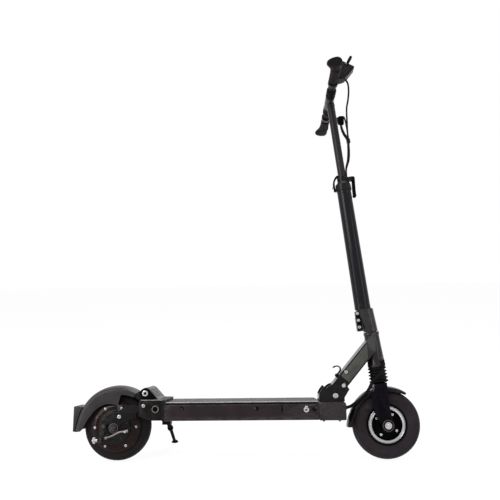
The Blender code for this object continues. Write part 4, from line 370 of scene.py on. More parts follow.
# %% [markdown]
# ## Tools for making pieces
#
# Most parts of a scooter were turned on a lathe, cut from plate, bent from strip, or drawn as
# tube, so there is a helper for each way of making. They all give back a bmesh in a local space.
# `make` then carries it to its place on the scooter, merges doubled points, turns the faces
# outwards, keeps creases sharp, and ties the piece to the body that moves it.

# %% From a mesh to a finished piece
CREASE = radians(38)


def make(name, shape, place, body, stuff, nodes=(), recalculate=True):
    """Carry a shape to its place, give it a finish, and let it ride on a body of the model."""
    bmesh.ops.transform(shape, matrix=place, verts=shape.verts)
    bmesh.ops.remove_doubles(shape, verts=shape.verts, dist=2e-6)
    if recalculate:
        bmesh.ops.recalc_face_normals(shape, faces=shape.faces)
    for face in shape.faces:
        face.smooth = True
    for edge in shape.edges:
        if len(edge.link_faces) == 2 and edge.calc_face_angle(0) > CREASE:
            edge.smooth = False
    mesh = bpy.data.meshes.new(name)
    shape.to_mesh(mesh)
    shape.free()
    mesh.materials.append(FINISHES[stuff])
    piece = bpy.data.objects.new(name, mesh)
    bpy.context.scene.collection.objects.link(piece)
    if body:
        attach(piece, body)
    if nodes:
        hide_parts(*nodes)
    return piece


def joined(*parts):
    """Put several shapes, each with its own place, into one mesh."""
    whole = bmesh.new()
    for shape, place in parts:
        bmesh.ops.transform(shape, matrix=place, verts=shape.verts)
        mesh = bpy.data.meshes.new("part")
        shape.to_mesh(mesh)
        shape.free()
        whole.from_mesh(mesh)
        bpy.data.meshes.remove(mesh)
    return whole


# %% [markdown]
# Nothing real has a perfectly sharp edge, so every way of making starts with rounded corners.
# They are cut on the drawn line before it is turned, because that costs only a few points.

# %% Rounding corners
def rounded(bm, geometry, offset, segments=2, affect="EDGES", clamp=False):
    bmesh.ops.bevel(bm, geom=geometry, offset=offset, offset_type="OFFSET", affect=affect, segments=segments,
                    profile=0.5, material=-1, clamp_overlap=clamp)


def wire(points, closed):
    bm = bmesh.new()
    line = [bm.verts.new(p) for p in points]
    for first, second in zip(line, line[1:]):
        bm.edges.new((first, second))
    if closed:
        bm.edges.new((line[-1], line[0]))
    return bm, line


def round_corners(bm, corners, radius, segments=3):
    """Round corners of a wire or a flat face; the cut starts as far back as the radius needs."""
    for corner in corners:
        ways = [(edge.other_vert(corner).co - corner.co) for edge in corner.link_edges]
        half = max((pi - ways[0].angle(ways[1])) / 2, 0.0)
        reach = min(radius * (sin(half) / max(cos(half), 0.05)), 0.46 * min(way.length for way in ways))
        if half > 0.05 and reach > 1e-5:
            rounded(bm, [corner], reach, segments, "VERTICES")


# %% [markdown]
# Axles, screws, tyres, tubes and grips were all turned or could have been. A spin makes them
# from half a section, which is how a lathe sees them, and keeps every ring exactly round.

# %% Turning
def spun(profile, steps, edge, closed=True):
    """Turn a profile of (radius, along) round the Y axis, as on a lathe. edge rounds its corners."""
    bm, line = wire([(radius, along, 0) for radius, along in profile], closed)
    if edge:
        inner = line if closed else line[1:-1]
        round_corners(bm, [v for v in inner if v.co.x > 0.0008], edge)
    bmesh.ops.spin(bm, geom=bm.verts[:] + bm.edges[:], cent=(0, 0, 0), axis=(0, 1, 0), angle=2 * pi,
                   steps=steps, use_merge=True, use_duplicate=False)
    bmesh.ops.remove_doubles(bm, verts=bm.verts, dist=1e-6)
    return bm


def capped(profile, steps=24, edge=0.0003):
    """Turn a profile whose two ends lie on the axis."""
    return spun(profile, steps, edge, closed=False)


def rod(radius, low, high, steps=24, edge=0.0003):
    return capped([(0, low), (radius, low), (radius, high), (0, high)], steps, edge)


def pin_across(radius, half, edge=0.0003, steps=24):
    return rod(radius, -half, half, steps, edge)


def hoop(inner, outer, low, high, steps=48, edge=0.0003):
    return spun([(inner, low), (outer, low), (outer, high), (inner, high)], steps, edge)


def flipped(profile):
    return [(radius, -along) for radius, along in profile]


# %% [markdown]
# Levers, lugs and pads are cut from plate: an outline is drawn, its corners are rounded, it is
# given a thickness, and its rims are eased. A block is a plate with a plain rectangle.

# %% Cutting from plate
def plate(outline, low, high, edge):
    """Cut an outline of (x, z) or (x, z, corner radius), thicken it along Y, and ease its rims."""
    bm = bmesh.new()
    line = [bm.verts.new((corner[0], low, corner[1])) for corner in outline]
    bm.faces.new(line)
    for vert, corner in zip(line, outline):
        if len(corner) > 2 and corner[2]:
            round_corners(bm, [vert], corner[2], 5)
    flat = bm.faces[:]
    raised = bmesh.ops.extrude_face_region(bm, geom=flat, use_keep_orig=True)["geom"]
    bmesh.ops.translate(bm, vec=(0, high - low, 0), verts=[g for g in raised if isinstance(g, bmesh.types.BMVert)])
    bmesh.ops.recalc_face_normals(bm, faces=bm.faces)
    if edge:
        rims = [e for e in bm.edges if abs(e.verts[0].co.y - e.verts[1].co.y) < 1e-7]
        rounded(bm, rims, edge, clamp=True)
    return bm


def rectangle(x, z):
    return [(x[0], z[0]), (x[1], z[0]), (x[1], z[1]), (x[0], z[1])]


def block(x, y, z, edge):
    return plate(rectangle(x, z), *y, edge)


SIDES = (-1, 1)


def plates(outline, low, high, edge=0.0004):
    """The same plate on both sides of the scooter."""
    return joined(*[(plate(outline, *sorted((side * low, side * high)), edge), here) for side in SIDES])


def aimed(start, way):
    """A place whose Y axis looks along a direction."""
    return Matrix.Translation(start) @ Vector(way).to_track_quat("Y", "Z").to_matrix().to_4x4()


# %% [markdown]
# ## Screws and nuts
#
# There are dozens of screws, and the eye reads them as sparkles. A socket head is a short
# cylinder with a sunk hexagon. A stack of circles is bridged one after another, and the last
# ones have six corners, so the recess closes cleanly without any cutting. Heads point along Y.

# %% Fasteners
def screw(radius, height, socket=0.52, depth=0.55, rounds=24):
    """A socket head. socket is the hexagon's share of the radius, depth its share of the height."""
    bm = bmesh.new()
    edge = min(0.16 * radius, 0.35 * height)
    hexagon = radius * socket
    levels = [(rounds, radius, 0), (rounds, radius, height - edge),
              (rounds, radius - edge * 0.3, height - edge * 0.3), (rounds, radius - edge, height),
              (6, hexagon * 1.12, height), (6, hexagon, height - 0.12 * radius), (6, hexagon, height * (1 - depth))]
    rims = []
    for corners, reach, level in levels:
        loop = bmesh.ops.create_circle(bm, cap_ends=False, radius=reach, segments=corners,
                                       matrix=at(0, level, 0) @ turn(90, "X"))["verts"]
        rims.append(list({edge for vert in loop for edge in vert.link_edges}))
    for below, above in zip(rims, rims[1:]):
        bmesh.ops.bridge_loops(bm, edges=below + above)
    bmesh.ops.contextual_create(bm, geom=rims[0])
    bmesh.ops.contextual_create(bm, geom=rims[-1])
    return bm


def nut(radius, height):
    bm = bmesh.new()
    bmesh.ops.create_cone(bm, cap_ends=True, segments=6, radius1=radius, radius2=radius, depth=height,
                          matrix=at(0, height / 2, 0) @ turn(90, "X"))
    rims = [e for e in bm.edges if abs(e.verts[0].co.y - e.verts[1].co.y) < 1e-7]
    rounded(bm, rims, 0.12 * radius)
    return bm


# %% [markdown]
# Most fasteners come in pairs, one on each side. Turning a shape about the scooter's length, and
# not mirroring it, keeps its faces the right way out.

# %% The same on both sides
def facing(x, y, z, side):
    """A place on one side of the scooter, with Y looking outwards on that side."""
    return at(x, y * side, z) @ turn(90 - 90 * side, "X")


def mirrored(shape, *spots):
    """The same shape at spots on both sides. shape is a call that makes it, since each copy is used up."""
    return joined(*[(shape(), facing(*spot, side)) for spot in spots for side in SIDES])


def both_ends(shape):
    return joined(*[(shape(), turn(90 - 90 * side, "Z")) for side in SIDES])


def circle(radius, count, start, y):
    angles = [radians(360 / count * i + start) for i in range(count)]
    return [(radius * cos(angle), y, radius * sin(angle)) for angle in angles]


def shadows(name, space, body, spots):
    """Dark hexagons at the bottom of sockets, painted shade in the recesses. A spot is a screw's x, y, z, radius
    and height.
    """
    shade_hexagons = [(nut(radius * 0.44, height * 0.45), facing(x, y + height * 0.25, z, side))
              for x, y, z, radius, height in spots for side in SIDES]
    make(name, joined(*shade_hexagons), space, body, "pitch_black")


# %% [markdown]
# ## Tyres
#
# Both tyres are solid or tubeless rubber on a small rim. Half the profile is drawn, and it and
# its mirror image are spun in many steps. Two fine grooves run round the crown, a moulded line
# marks the sidewall, and every second step of the shoulder gets a small sunk block, because a
# spun tyre without any repeat looks like a toy. The inner side is closed: the tyre is a ring.

# %% Tyres
TYRE_STEPS = 120
GROOVE = [(0.0999, 0.0045), (0.0988, 0.0040), (0.0988, 0.0030), (0.100, 0.0026)]
BLOCK_INSET, BLOCK_DEPTH = 0.0005, 0.0004


def tyre(half, shoulder):
    """Spin half a profile and its mirror image, then sink every second face of the shoulder."""
    profile = half + GROOVE
    bm = spun(profile + flipped(profile)[::-1], TYRE_STEPS, edge=0.0007)
    blocks = []
    for face in bm.faces:
        centre = face.calc_center_median()
        reach = (centre.x ** 2 + centre.z ** 2) ** 0.5
        step = int(degrees(atan2(centre.z, centre.x)) / 360 * TYRE_STEPS + TYRE_STEPS)
        if shoulder[0] < reach < shoulder[1] and face.calc_area() > 8e-6 and step % 2 == 0:
            blocks.append(face)
    bmesh.ops.inset_individual(bm, faces=blocks, thickness=BLOCK_INSET, depth=-BLOCK_DEPTH)
    return bm, len(blocks)


rear_half = [(0.0703, 0.0200), (0.0703, 0.0235), (0.0745, 0.0244), (0.0752, 0.0250), (0.0764, 0.0250),
             (0.0772, 0.0246), (0.0860, 0.0250), (0.0935, 0.0220), (0.0980, 0.0145), (0.0994, 0.0075)]
shape, count = tyre(rear_half, (0.0905, 0.0978))
# The rear tyre gets the darker copy of the tyre rubber, which is painted shade.
make("rear_tyre_rubber", shape, rear_axle, "rear_wheel", "tyre_painted_shade", ["rear_tyre"])
front_half = [(0.0573, 0.0150), (0.0573, 0.0192), (0.0612, 0.0205), (0.0620, 0.0214), (0.0634, 0.0216),
              (0.0680, 0.0226), (0.0820, 0.0245), (0.0925, 0.0205), (0.0978, 0.0130), (0.0993, 0.0070)]
shape, count_front = tyre(front_half, (0.0885, 0.0976))
make("front_tyre_rubber", shape, front_axle, "front_wheel", "tyre_black", ["front_tyre"])
print("tyres with", count, "and", count_front, "shoulder blocks")

# %% [markdown]
# ## Front wheel
#
# The front rim is cast and painted black, and its lip is turned bright, so it shows as a
# silver ring round a dark dish with four screws. Ring and dish are separate pieces because
# their finishes differ; both stand for the one solid rim of the model.

# %% Front rim
ring = [(0.0538, 0.0150), (0.0538, 0.0206), (0.0530, 0.0212), (0.0521, 0.0204), (0.0512, 0.0197), (0.0475, 0.0196),
        (0.0466, 0.0221), (0.0452, 0.0221), (0.0440, 0.0208), (0.0440, 0.0150)]
edge_ring = [(0.0539, 0.0150), (0.0539, 0.0200), (0.0568, 0.0208), (0.0580, 0.0222), (0.0588, 0.0223),
             (0.0590, 0.0199), (0.0573, 0.0193), (0.0573, 0.0150)]
whole = joined((spun(ring, 96, 0.0005), here), (spun(flipped(ring), 96, 0.0005), here))
make("front_rim_bright_ring", whole, front_axle, "front_wheel", "polished_rim", ["front_rim"])
dish = [(0.0441, 0.0140), (0.0441, 0.0192), (0.0430, 0.0205), (0.0418, 0.0136), (0.0300, 0.0128), (0.0215, 0.0136),
        (0.0188, 0.0270), (0.0176, 0.0285), (0.0165, 0.0303), (0.0060, 0.0303), (0.0053, 0.0296)]
whole = joined((spun(dish + flipped(dish)[::-1], 96, 0.0006), here), (spun(edge_ring, 96, 0.0004), here),
               (spun(flipped(edge_ring), 96, 0.0004), here))
make("front_rim_dish", whole, front_axle, "front_wheel", "pitch_black", ["front_rim"])
hub_band = [(0.0212, 0.0133), (0.0212, 0.0146), (0.0200, 0.0150), (0.0194, 0.0140)]
make("front_hub_bands", both_ends(lambda: spun(hub_band, 64, 0.0002)), front_axle, "front_wheel", "polished_rim")
bolts = mirrored(lambda: screw(0.0040, 0.0030), *circle(0.0335, 4, 58, 0.0132))
make("front_rim_bolts", bolts, front_axle, "front_wheel", "bright_steel")
print("front rim, its hub bands and four bolts on each side")

# %% [markdown]
# Each axle is a threaded bar with a spacer, a washer and a nut at each end. Its end is domed,
# and a few shallow rings stand for the thread that shows outside the nut. A thin steel ring
# marks the machined face of each fork end and of each swing arm end, round the washer.

# %% Axles
def axle_end(spacer, spacer_from, spacer_to, washer, washer_to, hexagon, nut_to, bar, tip):
    """One end of an axle, growing along +Y: spacer, washer, nut, thread and domed tip."""
    core = bar - 0.0003
    thread = []
    level = nut_to - 0.0004
    while level < tip - 0.0012:
        thread += [(bar, level), (bar - 0.00035, level + 0.0004)]
        level += 0.0008
    shaft = [(0, spacer_from), (core, spacer_from), *thread, (bar, tip - 0.0012), (bar - 0.0010, tip), (0, tip)]
    return joined((capped(shaft, edge=0), here), (hoop(core, spacer, spacer_from, spacer_to, 32), here),
                  (hoop(core, washer, spacer_to, washer_to, 40), here),
                  (nut(hexagon, nut_to - washer_to), at(0, washer_to, 0)))


ends = both_ends(lambda: axle_end(0.0090, 0.0306, 0.0338, 0.0102, 0.0476, 0.0090, 0.0540, 0.0044, 0.0560))
make("front_axle_ends", ends, front_axle, "fork", "bright_steel", ["front_axle"])
ends = both_ends(lambda: axle_end(0.0095, 0.0449, 0.0487, 0.0125, 0.0619, 0.0098, 0.0688, 0.0060, 0.0745))
make("rear_axle_ends", ends, rear_axle, "swingarm", "plated_black", ["rear_axle"])
make("fork_end_rings", both_ends(lambda: hoop(0.0150, 0.0160, 0.0455, 0.0468)), front_axle, "fork", "dull_steel")
make("swing_end_rings", both_ends(lambda: hoop(0.0122, 0.0134, 0.0600, 0.0622)), rear_axle, "swingarm",
     "dull_steel")
print("axles, nuts and washers")

# %% [markdown]
# ## Motor wheel
#
# The rear wheel is a hub motor. Its shell carries the tyre, and a turned cover closes each
# side. The covers are lacquered in a dark brown that is nearly black, with fine rings from the
# lathe and six screws. The drum brake hides in the right cover, behind a fixed black plate.

# %% Hub motor
shell = [(0.0575, 0.0300), (0.0660, 0.0303), (0.0720, 0.0300), (0.0745, 0.0296), (0.0745, 0.0262), (0.0722, 0.0254),
         (0.0703, 0.0238), (0.0703, 0.0225), (0.0575, 0.0225)]
whole = joined((spun(shell, 120, 0.0005), here), (spun(flipped(shell), 120, 0.0005), here))
make("motor_shell_lips", whole, rear_axle, "rear_wheel", "hub_dark", ["motor_shell"])
rim_part = [(0.0725, 0.0303), (0.0718, 0.0318), (0.0700, 0.0333), (0.0682, 0.0337), (0.0668, 0.0345),
            (0.0600, 0.0370), (0.0570, 0.0370), (0.0560, 0.0362), (0.0550, 0.0370)]
left_face = rim_part + [(0.0480, 0.0385), (0.0468, 0.0378), (0.0455, 0.0386), (0.0200, 0.0405), (0.0188, 0.0420),
                        (0.0160, 0.0440), (0.0063, 0.0440), (0.0063, 0.0303)]
make("motor_cover_left_turned", spun(left_face, 120, 0.0004), rear_axle, "rear_wheel", "hub_dark",
     ["motor_cover_left"])
right_face = rim_part + [(0.0500, 0.0370), (0.0475, 0.0381), (0.0430, 0.0370), (0.0418, 0.0352), (0.0418, 0.0303)]
make("motor_cover_right_turned", spun(flipped(right_face), 120, 0.0004), rear_axle, "rear_wheel",
     "hub_dark", ["motor_cover_right"])
bolts = mirrored(lambda: screw(0.0036, 0.0028), *circle(0.062, 6, 1, 0.0350))
make("motor_cover_bolts", bolts, rear_axle, "rear_wheel", "bright_steel")
print("hub motor covers and bolts")

# %% [markdown]
# ## Reusing a solid of the model
#
# Some solids already have the right outline and only look too crisp, because a machined solid
# has no rounding. Such a piece is a copy: its loose triangles are merged, flat faces are made
# whole again, and a Bevel modifier rounds every edge sharper than the given angle. A rounded
# edge catches the lamps, which is what makes a black part readable.

# %% Rounding a solid
def dressed(node_name, stuff, body, edge, angle=32, name=None):
    """A softer copy of a node: edges sharper than angle get a rounding as wide as edge."""
    bm = bmesh.new()
    bm.from_mesh(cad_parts[node_name].data)
    bmesh.ops.remove_doubles(bm, verts=bm.verts, dist=1e-5)
    bmesh.ops.dissolve_limit(bm, angle_limit=radians(1.0), verts=bm.verts, edges=bm.edges)
    piece = make(name or node_name + "_eased", bm, here, body, stuff, [node_name], recalculate=False)
    soften = piece.modifiers.new("eased edges", "BEVEL")
    soften.width = edge
    soften.segments = 2
    soften.limit_method = "ANGLE"
    soften.angle_limit = radians(angle)
    soften.harden_normals = True
    soften.use_clamp_overlap = True
    return piece


# %% [markdown]
# ## Rear brake
#
# A fixed plate covers the drum on the right side. The cable comes through a bent tube, the
# noodle, and pulls a small arm; a wing nut on the end of the cable sets the slack. These are
# the bright bits one sees in front of the dark hub, so each is made in full: the noodle as a
# tube along a curve, the arm as a cut plate, the rest as small turned parts.

# %% Tubes along a path
def tube(points, radius, sides, smooth=True):
    """Draw a round tube through points, as a curve that is then made a mesh."""
    curve = bpy.data.curves.new("route", "CURVE")
    curve.dimensions = "3D"
    curve.bevel_depth = radius
    curve.bevel_resolution = max(sides // 4, 1)
    curve.use_fill_caps = True
    curve.resolution_u = 10
    line = curve.splines.new("BEZIER" if smooth else "POLY")
    if smooth:
        line.bezier_points.add(len(points) - 1)
        for knot, point in zip(line.bezier_points, points):
            knot.co = point
            knot.handle_left_type = knot.handle_right_type = "AUTO"
    else:
        line.points.add(len(points) - 1)
        for knot, point in zip(line.points, points):
            knot.co = (*point, 1)
    holder = bpy.data.objects.new("route", curve)
    mesh = bpy.data.meshes.new_from_object(holder)
    bm = bmesh.new()
    bm.from_mesh(mesh)
    bpy.data.meshes.remove(mesh)
    bpy.data.objects.remove(holder)
    bpy.data.curves.remove(curve)
    bmesh.ops.remove_doubles(bm, verts=bm.verts, dist=1e-6)
    return bm


# %% [markdown]
# The plate is a turned disc with nine ribs, a post that takes the noodle's end and a boss for
# the arm. The noodle is the tube, with a ferrule at one end and a tip at the other.

# %% Brake plate and noodle
ARM_X, ARM_Z = -0.0285, 0.006
cover = [(0, -0.0392), (0.0440, -0.0392), (0.0450, -0.0396), (0.0450, -0.0404), (0.0420, -0.0412),
         (0.0415, -0.0405), (0.0300, -0.0412), (0.0270, -0.0440), (0.0150, -0.0440), (0.0140, -0.0446),
         (0, -0.0446)]
stop_post = [(0, 0), (0.0065, 0), (0.0065, 0.0060), (0.0040, 0.0075), (0.0040, 0.0215), (0.0034, 0.0222),
             (0, 0.0222)]
arm_boss = [(0, 0), (0.0075, 0), (0.0075, 0.0090), (0.0066, 0.0096), (0, 0.0096)]
ribs = [(block((0.0285, 0.0400), (-0.0416, -0.0400), (-0.0011, 0.0011), 0.0003), turn(40 * i + 20, "Y"))
        for i in range(9)]
whole = joined((capped(cover, 72), here), (capped(stop_post), facing(0.039, 0.0386, -0.008, -1)),
               (capped(arm_boss, 28), facing(ARM_X, 0.0384, ARM_Z, -1)), *ribs)
make("brake_plate_ribbed", whole, rear_axle, "swingarm", "plated_black", ["brake_plate"])

noodle = [(0.0410, -0.0660, -0.0078), (0.0330, -0.0661, -0.0092), (0.0235, -0.0662, -0.0094),
          (0.0124, -0.0664, -0.0134), (-0.0039, -0.0662, -0.0215), (-0.0130, -0.0660, -0.0246),
          (-0.0195, -0.0660, -0.0264)]
ferrule = capped([(0, 0), (0.0046, 0), (0.0046, 0.0035), (0.0040, 0.0045), (0.0040, 0.0090), (0.0036, 0.0098),
                  (0, 0.0098)])
tip = capped([(0, 0), (0.0040, 0), (0.0046, 0.0010), (0.0046, 0.0052), (0.0036, 0.0070), (0.0036, 0.0078),
              (0, 0.0078)], edge=0.0002)
whole = joined((tube(noodle, 0.0026, 16), here), (ferrule, aimed((0.0450, -0.066, -0.0064), (-1, 0, -0.28))),
               (tip, aimed((-0.0165, -0.0660, -0.0257), (-1, 0, -0.28))))
make("brake_noodle_tube", whole, rear_axle, "swingarm", "dull_steel", ["brake_noodle"])
make("noodle_lock_nut", nut(0.0050, 0.0046), rear_axle @ aimed((0.0380, -0.0661, -0.0086), (-1, 0, -0.10)),
     "swingarm", "bright_steel")
print("brake plate with", len(ribs), "ribs, and the noodle")

# %% [markdown]
# The arm is a cut plate on a spindle. At its lower end a trunnion turns with the cable, and
# behind it come the nut, the ferrule and the wings, threaded on one thin rod.

# %% Brake arm and wing nut
arm_pivot = rear_axle @ at(ARM_X, 0, ARM_Z)
lever = plate([(0.0063, 0.0035, 0.002), (0.0063, 0.0065, 0.003), (-0.0060, 0.0068, 0.005), (-0.0085, -0.0080, 0.01),
               (-0.0160, -0.0410, 0.003), (-0.0045, -0.0425, 0.003), (0.0035, -0.0090, 0.01)],
              -0.0663, -0.0628, 0.0005)
eye = Vector((-0.0098, -0.066, -0.0385))
way = Vector((-1, 0, -0.09)).normalized()
trunnion = [(0, -0.0075), (0.0062, -0.0075), (0.0072, -0.0062), (0.0072, -0.0015), (0.0064, -0.0010),
            (0.0064, 0.0016), (0.0072, 0.0022), (0.0072, 0.0050), (0.0060, 0.0066), (0, 0.0066)]
spindle = [(0, -0.031), (0.0044, -0.031), (0.0044, -0.067), (0.0038, -0.068), (0, -0.068)]
whole = joined((lever, here), (capped(trunnion, 28), aimed(eye, way)), (capped(spindle, edge=0), here),
               (screw(0.0042, 0.0026), facing(eye.x, 0.0700, eye.z, -1)),
               (nut(0.0058, 0.0030), facing(0, 0.0645, 0, -1)))
make("brake_arm_lever", whole, arm_pivot, "brake_arm", "plated_black", ["brake_arm"])

wing = plate([(-0.0040, -0.0088, 0.0030), (0.0034, -0.0088, 0.0030), (0.0040, -0.0042, 0.004),
              (0.0060, 0.0, 0.002), (0.0040, 0.0042, 0.004), (0.0034, 0.0088, 0.0030),
              (-0.0040, 0.0088, 0.0030), (-0.0060, 0.0, 0.004)], -0.0015, 0.0015, 0.0007)
whole = joined((tube([eye - way * 0.006, eye + way * 0.020], 0.0014, 10, smooth=False), here),
               (capped([(0, 0), (0.0045, 0), (0.0045, 0.0048), (0.0036, 0.0060), (0, 0.0060)]),
                aimed(eye + way * 0.006, way)),
               (capped([(0, 0), (0.0036, 0), (0.0040, 0.0040), (0.0028, 0.0062), (0, 0.0062)]),
                aimed(eye + way * 0.0118, way)),
               (capped([(0, 0), (0.0030, 0), (0.0008, 0.0055), (0, 0.0055)], 20), aimed(eye + way * 0.0185, way)),
               (wing, at(*(eye + way * 0.0165))))
make("brake_wing_nut_bright", whole, arm_pivot, "brake_arm", "bright_steel", ["brake_wing_nut"])
print("brake arm and wing nut")

# %% [markdown]
# ## Deck
#
# The deck is one long extruded box with a mat of grit on top. The solid of the model already
# has the port and the channels, so it gets rounded edges. What it lacks is laid on: light grey
# strips beside the mat and the footrest, which paint the highlight along the top edges, a dark
# line under each top edge, plain dark discs at the side screws, which paint the shade in their
# sunk holes, the socket behind the charge cap, and two dark bars on the cap's face, which paint
# the shade in its two slots.

# %% Deck
DECK_TOP = 0.172
MAT_ENDS, MAT_HALF = (-0.252, 0.187), 0.064
SIDE_SCREWS = ((-0.2055, 0.156), (0.0128, 0.1545), (0.1790, 0.152))
PORT_X, PORT_Z = 0.156, 0.151
dressed("deck_frame", "deck_black", "deck", 0.0010)
mat = plate([(*corner, 0.006) for corner in rectangle(MAT_ENDS, (-MAT_HALF, MAT_HALF))], -0.0030, 0.0, 0.0007)
bmesh.ops.rotate(mat, cent=(0, 0, 0), matrix=Matrix.Rotation(radians(90), 3, "X"), verts=mat.verts)
bmesh.ops.translate(mat, vec=(0, 0, DECK_TOP + 0.0003), verts=mat.verts)
make("grip_mat_sheet", mat, upright, "deck", "grip_mat_grey", ["grip_mat"])
# Painted shade: flat pitch-black discs at the side screws stand for the shade in their sunk holes.
disc = [(0, 0), (0.0058, 0), (0.0058, 0.0006), (0.0054, 0.0010), (0, 0.0010)]
hole_shade_discs = mirrored(lambda: capped(disc, 28, 0), *[(x, 0.0798, z) for x, z in SIDE_SCREWS])
make("deck_side_screw_hole_shade", hole_shade_discs, upright, "deck", "pitch_black")
# Painted highlight: light grey strips along the deck's top edges, beside the mat and beside the footrest.
edge_highlights = joined((plates(rectangle(MAT_ENDS, (0.1721, 0.1736)), 0.0645, 0.0792, 0.0005), here),
               (plates(rectangle((-0.3270, -0.2625), (0.1799, 0.1808)), 0.0640, 0.0772), here))
make("deck_top_edge_highlights", edge_highlights, upright, "deck", "top_edge_highlight_grey")
# A thin pitch-black line just under each top edge of the deck's sides.
edge_dark_lines = plates(rectangle((-0.2570, 0.1900), (0.1672, 0.1700)), 0.0797, 0.0802, 0.0001)
make("deck_edge_dark_lines", edge_dark_lines, upright, "deck", "pitch_black")
contact = [(0, 0.0), (0.0013, 0.0), (0.0013, 0.0040), (0.0008, 0.0046), (0, 0.0046)]
socket = joined((hoop(0.0060, 0.0069, 0, 0.0040, 32), here), (capped(contact, 16, 0), here))
make("charge_socket", socket, upright @ facing(PORT_X, 0.0760, PORT_Z, -1), "deck", "bright_steel")
dressed("charge_cap", "bright_steel", "charge_cap", 0.0004)
# Painted shade: two pitch-black bars on the cap's face stand for the shade inside its two slots.
slot_shade_bars = joined((block((-0.0042, 0.0030), (0.0026, 0.0034), (-0.0012, 0.0030), 0.0004), here),
               (block((0.0004, 0.0050), (0.0026, 0.0034), (-0.0056, -0.0032), 0.0004), here))
make("charge_cap_slot_shade", slot_shade_bars, upright @ facing(PORT_X, 0.0800, PORT_Z, -1), "charge_cap", "pitch_black")
print("deck with", len(SIDE_SCREWS), "screws on each side, mat, trims, seams and charge port")

# %% [markdown]
# ## Castings at the ends of the deck
#
# The nose and the rear block are die castings, and the folding bracket is two steel plates on a
# base. All three are eased solids. Each screw is a separate small shape on its casting.

# %% Nose and folding bracket
dressed("front_casting", "nose_grey", "deck", 0.0013)
dressed("fold_bracket", "painted_black", "deck", 0.0006, name="fold_bracket_plates")
whole = joined((screw(0.0080, 0.0042, 0.5, 0.6), facing(0, 0.0415, 0, -1)),
               (nut(0.0086, 0.0050), facing(0, 0.0415, 0, 1)),
               (capped([(0, -0.0415), (0.0048, -0.0415), (0.0048, 0.0490), (0.0040, 0.0498), (0, 0.0498)],
                       edge=0), here))
make("fold_pivot_bolt_bright", whole, fold, "deck", "bright_steel", ["fold_pivot_bolt"])
heads = joined(*[(screw(0.0034, 0.0058, 0.5, 0.3), at(x, side * 0.055, 0.1200) @ turn(-90, "X"))
                 for x in (0.207, 0.253) for side in SIDES])
make("nose_screws", heads, upright, "deck", "dull_steel")
print("nose, folding bracket and its pivot bolt")

# %% [markdown]
# The rear block holds the swing arm between its cheeks. The arm turns on one long bolt, whose
# dark heads sit in steel rings. A rubber buffer between block and arms springs the wheel, and
# a soft seal closes the gap behind the footrest.

# %% Rear block, swing bolt and buffer
SWING_X, SWING_Z = -0.283, 0.155
CHEEK = 0.0775
BLOCK_SCREW = (-0.318, CHEEK, 0.165)
dressed("rear_block", "cast_black", "deck", 0.0010)
heads = mirrored(lambda: screw(0.0078, 0.0036, 0.50, 0.6, 32), (SWING_X, 0.0776, SWING_Z))
whole = joined((rod(0.0058, -0.0776, 0.0776, 32, 0), at(SWING_X, 0, SWING_Z)), (heads, here))
make("swing_pivot_bolt_dark", whole, upright, "deck", "pitch_black", ["swing_pivot_bolt"])
rings = mirrored(lambda: hoop(0.0078, 0.0102, 0, 0.0040, 32, 0.0006), (SWING_X, CHEEK, SWING_Z))
make("swing_bolt_rings", rings, upright, "deck", "dull_steel")
make("rear_block_screws", mirrored(lambda: screw(0.0052, 0.0034), BLOCK_SCREW), upright, "deck", "bright_steel")
bm = block((-0.3158, -0.3010), (-0.0598, 0.0598), (0.1670, 0.1741), 0.0012)
buffer = make("rear_buffer_rubber", bm, upright, "deck", "black_rubber", ["rear_buffer"])
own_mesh(buffer)
seal = plate([(-0.3345, 0.1975), (-0.3440, 0.1990, 0.002), (-0.3555, 0.1985, 0.002), (-0.3560, 0.1888, 0.002),
              (-0.3432, 0.1785, 0.002), (-0.3300, 0.1790)], -0.0405, 0.0405, 0.0012)
seal = make("footrest_gap_seal", seal, upright, "deck", "black_rubber")
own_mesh(seal)
print("rear block, swing bolt, buffer and seal")

# %% [markdown]
# The footrest is a ribbed rubber pad on a wedge: grey on top, black at its ends, held by a
# bright bolt on each side. The wedge is a cut outline, and each rib is a small bar across it.
# A dark hexagon at the bottom of each socket paints the shade inside it, and keeps bright bolts from looking like
# plain buttons.

# %% Footrest in layers
wedge = [(-0.2790, 0.1805), (-0.2835, 0.1858, 0.003), (-0.3080, 0.2125, 0.009), (-0.3180, 0.2160, 0.008),
         (-0.3275, 0.2115, 0.008), (-0.3368, 0.2020, 0.004), (-0.3292, 0.1805)]
make("footrest_ends", plates(wedge, 0.0548, 0.0580, 0.0009), upright, "deck", "pitch_black", ["footrest_pad"])
middle = plate([(x, z - 0.0004, *r) for x, z, *r in wedge], -0.0546, 0.0546, 0.0012)
ribs = []
for i in range(6):
    share = (i + 0.7) / 6.6
    ribs.append((block((-0.0016, 0.0016), (-0.0500, 0.0500), (-0.0012, 0.0013), 0.0007),
                 at(-0.2862 - 0.0210 * share, 0, 0.1889 + 0.0229 * share) @ turn(-47, "Y")))
make("footrest_ribbed_top", joined((middle, here), *ribs), upright, "deck", "footrest_grey", ["footrest_pad"])
PAD_BOLT = (-0.3175, 0.0580, 0.199)
bolts = mirrored(lambda: screw(0.0088, 0.0042, 0.5, 0.6), PAD_BOLT)
make("footrest_bolts", bolts, upright, "deck", "bright_steel")
# Painted shade in the sockets of the footrest bolts and the rear block screws.
shadows("deck_socket_shade", upright, "deck", [(*PAD_BOLT, 0.0088, 0.0042), (*BLOCK_SCREW, 0.0052, 0.0034)])
print("footrest with", len(ribs), "ribs")

# %% [markdown]
# ## Kickstand
#
# A stepped steel leg: a thick upper half, a knuckle where the spring hooks on, a thin lower
# half and a flat foot that meets the floor. It is one profile turned round the leg's own line,
# with the pivot barrel across it. The foot is squared to the floor and not to the leg.

